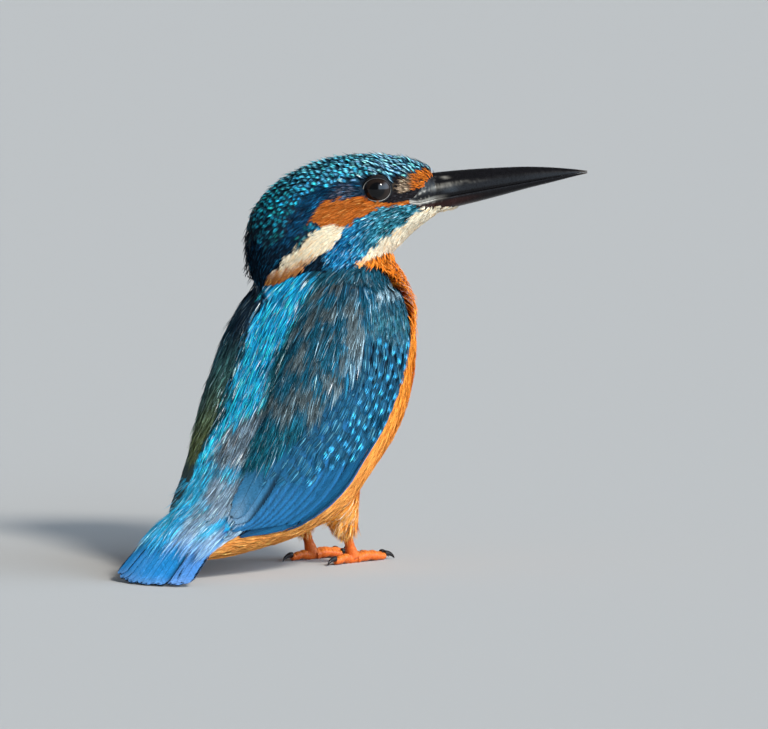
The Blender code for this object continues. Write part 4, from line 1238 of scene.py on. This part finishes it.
def make_tail():
    """Twelve feathers from above and the same from below; the three on the right stand a little apart."""
    number, parts = np.arange(12), []
    across = np.array([-0.95, -0.81, -0.68, -0.46, -0.30, -0.15, 0.0, 0.16, 0.32, 0.49, 0.67, 0.85])
    apart = (number < 3)[:, None]
    end = 1 - 0.10 * across**2 - 0.004 * np.array([3, 1, 4, 0, 2, 0, 1, 3, 0, 2, 1, 4])
    reach = np.linspace(0.05, 1, 11) * end[:, None]
    inner = 1 - np.abs(number - 5.5) / 5.5

    def paint_top(s, a, n):
        s, a, n = s[..., None], a[..., None], n[..., None]
        base = mix(AZURE * 0.95, NAVY * (3.5, 2.7, 2.7), smooth(0.35, 0.95, s) * 0.8)
        outer = a * np.sign(across[n])
        base = mix(base, (0.07, 0.36, 0.80), smooth(-0.2, 0.9, outer) * 0.8)
        base = mix(base, (0.10, 0.25, 0.59), (n < 3) * 0.7 * smooth(0.3, 0.8, s))
        base = mix(base, INK * 2, ((n < 4) & (n > 1)) * smooth(0.5, 0.9, -outer) * 0.8)
        return mix(base, (0.22, 0.36, 0.68), smooth(0.9, 1.0, s) * 0.4)

    def paint_under(s, a, n):
        return mix(SMOKE * 0.3, INK, smooth(0.2, 0.9, s)[..., None])

    faces = (True, paint_top, 0.10 + 0.45 * inner), (False, paint_under, -0.10 - 0.25 * inner)
    for top, paint, above in faces:
        above = above[:, None] * (1 - 0.3 * reach) - 0.55 * apart * smooth(0.3, 0.9, reach)
        line = tail_at(across[:, None] * (1 + 0.03 * apart * reach), reach, above)
        out = np.broadcast_to(TAIL_UP + np.array([0, 1, 0]) * across[:, None, None] * 0.25, line.shape)
        parts.append(vanes(
            f"tail{top}", line, unit(out * (1 if top else -1)), 2.3, paint, unwrap(line[:, 0]) * (1, 0.5),
            barbs=56, lean=0.09, ragged=0.02, blunt=0.10, root_wide=0.8, camber=0.05, shaft=0.14))
    return joined(parts)


# ---------------------------------------------------------------- bill, eyes, feet


def loft(rings):
    """Points and triangles of a closed skin through rings with the same number of points."""
    rings = np.asarray(rings, float)
    count, around = rings.shape[:2]
    i, j = np.meshgrid(np.arange(count - 1), np.arange(around), indexing="ij")
    a, b = i * around + j, i * around + (j + 1) % around
    halves = (a, b, b + around), (a, b + around, a + around)
    tris = [np.stack(half, -1).reshape(-1, 3) for half in halves]
    points = np.concatenate([rings.reshape(-1, 3), rings[:1].mean(1), rings[-1:].mean(1)])
    k = np.arange(around)
    start, end = count * around, count * around + 1
    tris.append(np.stack([(k + 1) % around, k, np.full(around, start)], 1))
    last = (count - 1) * around
    tris.append(np.stack([last + k, last + (k + 1) % around, np.full(around, end)], 1))
    return points, np.concatenate(tris)


def lofted(rings, shades, mirrored):
    """A loft with the rings' colours, turned right side out if its rings run the other way."""
    points, tris = loft(rings)
    colours = np.concatenate([*shades, shades[0][:1], shades[-1][:1]])
    return points, tris[:, ::-1] if mirrored else tris, colours


def tube(centres, radii, sides, flatten=1.0):
    centres, radii = np.asarray(centres, float), np.asarray(radii, float)
    ways = unit(np.gradient(centres, axis=0))
    across = unit(np.cross(ways, UP + np.array([1e-3, 0, 0])))
    above = np.cross(across, ways)
    turn = np.linspace(0, 2 * math.pi, sides, endpoint=False)[None, :, None]
    ring = across[:, None] * np.cos(turn) + above[:, None] * np.sin(turn) * flatten
    return loft(centres[:, None] + ring * radii[:, None, None])


def skin_half_width(ahead, height):
    """Half the head's width at a height and a distance ahead."""
    start = HX * ahead - HY * 30 + UP * height
    hit = SKIN_TREE.ray_cast(Vector(start), Vector(HY))[0]
    return abs(np.array(hit) @ HY) if hit else 0.0


def make_bill(lower):
    """One half of the bill, from its base, spread over the skin, to its tip."""
    ahead, angle = [row[0] for row in BILL], np.linspace(0, math.pi, 33)
    rings, shades = [], []
    for x in np.concatenate([np.linspace(18.8, 30, 40), np.linspace(30.3, 62.3, 80)]):
        top, gape, bottom, half = curve(ahead, [row[1:] for row in BILL], max(x, 21.0))
        gape += 0.35 * smooth(21.0, 18.8, x)
        grow = smooth(18.4, 22.4 if lower else 24.8, x)
        far = ((bottom if lower else top) - gape) * (0.05 + 0.95 * grow)
        y = np.cos(angle) * half
        rise = np.sin(angle) ** (0.78 if lower else 0.85) * far
        if not lower:  # a groove runs forward from the nostril, and the culmen above it is a rounded ridge
            groove = np.exp(-(((np.abs(np.degrees(angle) - 90) - 38) / 13) ** 2)) * smooth(58, 36, x)
            y = y * (1 - 0.12 * groove)
            nostril = np.exp(-((x - 26.9) / 1.3) ** 2 - ((rise - 4.6 + (x - 26.9) * 0.1) / 0.36) ** 2)
            y = y * (1 - 0.14 * nostril)
        edge = gape + (-0.06 if lower else 0.06) + rise
        if x < 31:  # the base spreads over the skin, up to the feathers' slanting edge
            wrap = np.array([skin_half_width(min(x, 25.2), z) + 0.16 for z in edge])
            wrap = wrap * (np.abs(np.cos(angle)) > 0.12)
            y = mix(y, np.sign(y) * np.maximum(np.abs(y), wrap), smooth(31, 25.5, x))
        rings.append(HX * x + HY * y[:, None] + UP * edge[:, None])
        # the edges of the gape and the scuffed base are paler, and a painted highlight runs along the upper
        # mandible's ridge
        scuff = smooth(33, 25, x) * smooth(0.5, 0.75, noise.noise(Vector((x * 0.5, 7.0, 2.0))) * 0.5 + 0.62)
        pale = np.exp(-((np.abs(rise) / 0.35) ** 2)) * smooth(29, 23, x)
        speck = np.array([noise.noise(Vector((x * 1.7, z * 2.6, 1.0))) for z in edge])
        if lower:
            pale = pale + 0.5 * smooth(0.15, 0.45, speck) * smooth(28, 22, x)
        else:
            # painted highlight: a pale line along the ridge between the culmen and the flank
            ridge = np.interp(x, (19.6, 24.7, 32.1, 42), (89.9, 92.1, 93.3, 94.0))
            pale = pale + 0.25 * scuff * np.exp(-(((np.abs(rise) - 2.6) / 0.5) ** 2))
            pale = pale + (np.exp(-(((edge - ridge) / 0.3) ** 2)) * smooth(40, 24, x)
                           * smooth(-0.35, 0.35, speck) * 0.5)
            pale = pale + 0.3 * smooth(0.2, 0.5, speck) * smooth(27, 21, x)
            pale = pale + 0.6 * np.exp(-((x - 27.6) / 0.9) ** 2 - ((edge - 94.3) / 0.22) ** 2)
        red = smooth(40, 28, x) * smooth(0.3, 1.2, np.abs(rise)) * 0.4 * lower
        paint = mix((0.0045, 0.0042, 0.0050), (0.46, 0.42, 0.36), np.clip(pale * 0.9, 0, 1)[:, None])
        paint = mix(paint, (0.05, 0.014, 0.009), red[:, None])
        shades.append(mix(paint, (0.10, 0.075, 0.055), smooth(59.5, 62.3, x) * 0.4))
    return lofted(rings, shades, lower)


EYE_SIDES, LID_SIDES = 64, 96


def make_eye(side):
    """The ball with a slightly bulging cornea; dark brown round a black pupil."""
    centre = HX * EYE_AHEAD + HY * side * EYE_OUT + UP * EYE_UP
    turn = np.linspace(0, 2 * math.pi, EYE_SIDES, endpoint=False)[:, None]
    rings, shades = [], []
    for polar in np.radians(np.concatenate([np.linspace(0.5, 60, 48), np.linspace(64, 178, 28)])):
        bulge = EYE_R * (1 + 0.035 * smooth(52, 20, math.degrees(polar)))
        around = HX * np.cos(turn) + UP * np.sin(turn)
        rings.append(centre + (HY * side * math.cos(polar) + math.sin(polar) * around) * bulge)
        brown = mix((0.012, 0.007, 0.005), (0.001, 0.001, 0.0015), smooth(33, 26, math.degrees(polar)))
        shades.append(np.tile(brown, (EYE_SIDES, 1)))
    return lofted(rings, shades, side < 0)


def make_lids(side):
    """A soft rim of bare skin round the eye's opening, a little wider than high, pale at its lower edge."""
    centre = HX * EYE_AHEAD + UP * EYE_UP
    turn = np.linspace(0, 2 * math.pi, LID_SIDES, endpoint=False)
    wide, high = 3.28, 2.74
    profile = (  # outwards from the opening, height over the ball
        (-0.05, -0.25), (-0.02, 0.0), (0.03, 0.07), (0.09, 0.09), (0.16, 0.07),
        (0.25, 0.02), (0.34, -0.12), (0.45, -0.4), (0.5, -0.8), (0.5, -1.4))
    over_ball = np.sqrt((EYE_R * 1.01) ** 2 - (wide * np.cos(turn)) ** 2 - (high * np.sin(turn)) ** 2)
    rings, shades = [], []
    for d, height in profile:
        x, z = (wide + d) * np.cos(turn), (high + d) * np.sin(turn)
        out = EYE_OUT + over_ball + height + 0.03 * np.sin(turn * 23) * (0.1 < d < 0.5)
        rings.append(centre + HX * x[:, None] + HY * side * out[:, None] + UP * z[:, None])
        lower_edge = smooth(0.75, -0.25, np.sin(turn) + 0.4 * np.cos(turn))
        pale = smooth(0.12, 0.0, abs(d - 0.05)) * (0.25 + 0.75 * lower_edge)
        shades.append(mix((0.008, 0.009, 0.011), (0.36, 0.34, 0.31), pale[:, None]))
    points, tris, colours = lofted(rings, shades, side < 0)
    count = len(rings) * LID_SIDES  # without the loft's two end caps
    return points[:count], tris[(tris < count).all(1)], colours[:count]


def toe_line(side, turn_deg, length, steps):
    """The middle line of a toe, arched a little, from the foot's centre to its end."""
    turn = math.radians(turn_deg) * side
    f = np.linspace(0, 1, steps)
    height = 0.95 + 0.55 * np.sin(math.pi * np.minimum(1.0, f * 1.15)) * (1 - 0.5 * f)
    reach = 1.0 + f * (length - 1.0)
    return np.stack([math.cos(turn) * reach, side * FOOT_OUT + math.sin(turn) * reach, height], -1)


def make_foot(side):
    """Ankle and toes in one skin, ringed with scutes above and padded below."""
    y, down, f = side * FOOT_OUT, np.linspace(0, 1, 9), np.linspace(0, 1, 29)
    ankle = mix((-2.2, side * 6.7, 7.1), (0.0, y, 1.5), down[:, None])
    palm = [(-2.6, y, 0.75), (-1.3, y, 0.85), (0.6, y, 0.95), (2.4, y, 0.9)]
    shapes = [tube(ankle, np.interp(down, (0, 0.25, 0.5, 0.75, 1), (1.35, 1.2, 1.2, 1.5, 1.8)), 24),
              tube(palm, (0.75, 1.0, 1.15, 0.9), 20)]
    for turn, length, root, tip in TOES:
        radii = (root + (tip - root) * f) * (1 + 0.10 * np.cos(6 * math.pi * f))
        radii[-4:] *= (0.97, 0.9, 0.78, 0.55)
        shapes.append(tube(toe_line(side, turn, length, 29), radii, 20))
    points, tris, _, _ = joined([(*shape, np.zeros((1, 3)), np.zeros((1, 2))) for shape in shapes])
    mesh = bpy.data.meshes.new("foot_form")
    mesh.from_pydata((points * MM).tolist(), [], tris.tolist())
    points, normals, tris = melted(mesh, 0.13, 5)
    # the nearest toe, and how far along it
    best, along = np.full(len(points), 1e9), np.zeros(len(points))
    for number, (turn, length, _, _) in enumerate(TOES):
        way = np.array([math.cos(math.radians(turn) * side), math.sin(math.radians(turn) * side)])
        local = points[:, :2] - (0, y)
        reach = local @ way
        away = np.hypot(*(local - np.clip(reach, 0, length)[:, None] * way).T)
        nearer = away < best
        best[nearer], along[nearer] = away[nearer], (reach + number * 0.4)[nearer]
    up_leg = points[:, 2] > 3.0
    along[up_leg] = points[up_leg, 2]
    scute = 1 - np.abs(np.sin(along * math.pi / 1.05)) ** 0.5
    above = smooth(-0.2, 0.5, normals[:, 2] + 0.9 * up_leg * smooth(-0.3, 0.5, normals[:, 0]))
    grain = np.array([noise.noise(Vector(p * 3.1)) for p in points])
    points = points - normals * (0.13 * scute * above + 0.035 * np.abs(grain) * (1 - above))[:, None]
    points[:, 2] = np.maximum(points[:, 2], 0.01)
    # painted light: faces turned upwards are paler, mixed with random grain in the skin's own tone
    light = smooth(-0.3, 0.9, normals[:, 2]) * 0.6 + 0.4 * smooth(-0.4, 0.4, grain)
    colours = mix((0.50, 0.078, 0.008), (0.64, 0.17, 0.022), light[:, None])
    return points, tris, mix(colours, (0.30, 0.05, 0.015), (scute * above * 0.75)[:, None])


def make_claws():
    """Each claw bends down from the end of its toe in an even curve."""
    parts, bend_by, long = [], math.radians(62), 3.4
    bend = np.linspace(-0.12, 1, 20)
    reach, drop = long * np.sin(bend * bend_by) / bend_by, long * (1 - np.cos(bend * bend_by)) / bend_by
    radii = 0.6 * np.clip(1 - np.maximum(bend, 0), 0, 1) ** 0.7 + 0.03
    for side in (-1, 1):
        for turn_deg, length, _, tip in TOES:
            turn = math.radians(turn_deg) * side
            way = np.array([math.cos(turn), math.sin(turn), 0])
            start = toe_line(side, turn_deg, length, 7)[-1] + way * (tip * 0.25)
            centres = start + way * reach[:, None] + UP * (0.62 - 0.86 * drop)[:, None]
            points, tris = tube(centres, radii, 16, 1.15)
            parts.append((points, tris, np.tile([0.016, 0.013, 0.013], (len(points), 1)), np.zeros((1, 2))))
    points, tris, colours, _ = joined(parts)
    points[:, 2] = np.maximum(points[:, 2], 0.02)
    return points, tris, colours


# ---------------------------------------------------------------- camera, light and floor

VIEW_TURN, VIEW_DOWN = math.radians(50), math.radians(5)
VIEW_AWAY = 2.2  # metres
VIEW_WIDTH = 188.16  # millimetres across the picture at the bird
SENSOR = 36  # millimetres


def facing(*way):
    return Vector(np.sum(way, axis=0)).to_track_quat("-Z", "Y").to_euler()


def set_camera_and_light():
    right = np.array([math.cos(VIEW_TURN), -math.sin(VIEW_TURN), 0.0])
    level = np.array([math.sin(VIEW_TURN), math.cos(VIEW_TURN), 0.0])
    look = level * math.cos(VIEW_DOWN) - UP * math.sin(VIEW_DOWN)
    up = np.cross(right, look)
    camera = bpy.data.cameras.new("camera")
    camera.sensor_width, camera.clip_end = SENSOR, 50
    camera.lens = SENSOR * VIEW_AWAY / (VIEW_WIDTH * MM)
    holder = linked("camera", camera)
    holder.location = to_scene(right * 12.7 + up * 48.1) - look * VIEW_AWAY
    holder.rotation_euler = facing(look)
    bpy.context.scene.camera = holder

    light = bpy.data.lights.new("key", "SUN")
    light.energy, light.angle, light.color = 3.3, math.radians(12), (1.0, 0.94, 0.85)
    linked("key", light).rotation_euler = facing(look * 0.75, right * -0.62, UP * -0.72)

    world = bpy.data.worlds.new("studio")
    world.use_nodes = True
    tree = world.node_tree
    place = add_node(tree, "TexCoord", {}).outputs["Generated"]
    share = 1.0  # of a broad soft light in the upper right of the studio
    for way, low, high in ((right, 0.10, 0.32), (UP, -0.02, 0.08), (-UP, -0.75, -0.45), (-look, -0.45, 0.0)):
        towards = add_node(tree, "VectorMath", {0: place, 1: tuple(way)}, operation="DOT_PRODUCT")
        ramp = add_node(tree, "MapRange", {
            "Value": towards.outputs["Value"], "From Min": low, "From Max": high})
        share = add_node(tree, "Math", {0: share, 1: ramp.outputs["Result"]}, operation="MULTIPLY").outputs[0]
    strength = add_node(tree, "Math", {0: share, 1: 5.6, 2: 0.19}, operation="MULTIPLY_ADD")
    tint = add_node(tree, "MixRGB", {
        "Fac": share, "Color1": (0.86, 0.91, 1, 1), "Color2": (0.60, 0.80, 1, 1)})
    tree.links.new(strength.outputs[0], tree.nodes["Background"].inputs["Strength"])
    tree.links.new(tint.outputs["Color"], tree.nodes["Background"].inputs["Color"])
    bpy.context.scene.world = world
    bpy.context.scene.view_settings.view_transform = "Standard"

    bm = bmesh.new()
    bmesh.ops.create_circle(bm, cap_ends=True, segments=64, radius=14)
    mesh = bpy.data.meshes.new("floor")
    bm.to_mesh(mesh)
    bm.free()
    paper = bpy.data.materials.new("pale_floor")
    paper.use_nodes = True
    shader = paper.node_tree.nodes["Principled BSDF"]
    shader.inputs["Base Color"].default_value = (0.44, 0.44, 0.435, 1)
    shader.inputs["Roughness"].default_value = 0.85
    mesh.materials.append(paper)
    linked("floor", mesh)


set_camera_and_light()

SIDES = (("left", 1), ("right", -1))
SOFT = feather_material("soft_feathers", 0.65, grain=0.10, specular=0.0)
GLOSSY = feather_material("glossy_feathers", 0.5, grain=0.12, specular=0.06)
HIDE = feather_material("hide", 0.6, grain=0.1, specular=0.06, scale=1200)
HORN = feather_material("horn", 0.25, grain=0.10, specular=0.16, scale=900)
WET = feather_material("wet_eye", 0.05, grain=0.0, specular=0.30, scale=500)
SCALES = feather_material("foot_skin", 0.42, grain=0.08, specular=0.22, scale=3000)

skin = new_mesh("skin", SKIN, SKIN_TRIS, [SHADED_SKIN_COLOUR[name] for name in region_names(SKIN)])
dress(skin, HIDE, "breast_feathers", *FLESH)

crowns = crown_rows()
coat("coat_crown", ["crown", "brow"], 11, GLOSSY, "crown_feathers", crowns)
coat("coat_nape", ["nape"], 11, GLOSSY, "crown_feathers", crowns)
coat("coat_face", ["cheek", "ear", "lore", "mask", "collar", "malar", "throat"], 12, SOFT, "breast_feathers",
     extra=chin_tufts())
backs = scattered(["back", "rump"], 13)
backs = tuple(part[backs[0][:, 0] > -50] for part in backs)  # the tail's coverts do the rest
coat("coat_back", ["back", "rump"], 13, GLOSSY, "wing_feathers", backs, tail_coverts())
breasts = scattered(["breast"], 14)
for label, side in SIDES:
    half = tuple(part[breasts[0][:, 1] * side >= 0] for part in breasts)
    coat(f"coat_breast_{label}", ["breast"], 14, SOFT, "breast_feathers", half)
coat("coat_belly", ["vent", "thigh"], 15, SOFT, "breast_feathers")
coat("coat_shoulders", ["shoulder", "scapular"], 16, GLOSSY, "wing_feathers")
for label, side in SIDES:
    made = joined([make_blades(side, label), make_coverts(side, label)])
    dress(new_mesh(f"wing_feathers_{label}", *made), GLOSSY, "wing_feathers")
dress(new_mesh("tail_feathers", *make_tail()), GLOSSY, "tail_feathers", "tail")

dress(new_mesh("bill_top", *make_bill(False)), HORN, "bill_horn", "bill_upper")
dress(new_mesh("bill_bottom", *make_bill(True)), HORN, "bill_horn", "bill_lower")
for label, side in SIDES:
    dress(new_mesh(f"eyeball_{label}", *make_eye(side)), WET, "eye", f"eye_{label}")
    dress(new_mesh(f"lids_{label}", *make_lids(side)), HIDE, "crown_feathers")
    dress(new_mesh(f"scaly_foot_{label}", *make_foot(side)), SCALES, "foot_skin", f"foot_{label}")
claws = [name for name in NODES if name.startswith("claw_")]
dress(new_mesh("claws", *make_claws()), HORN, "claw_horn", *claws)
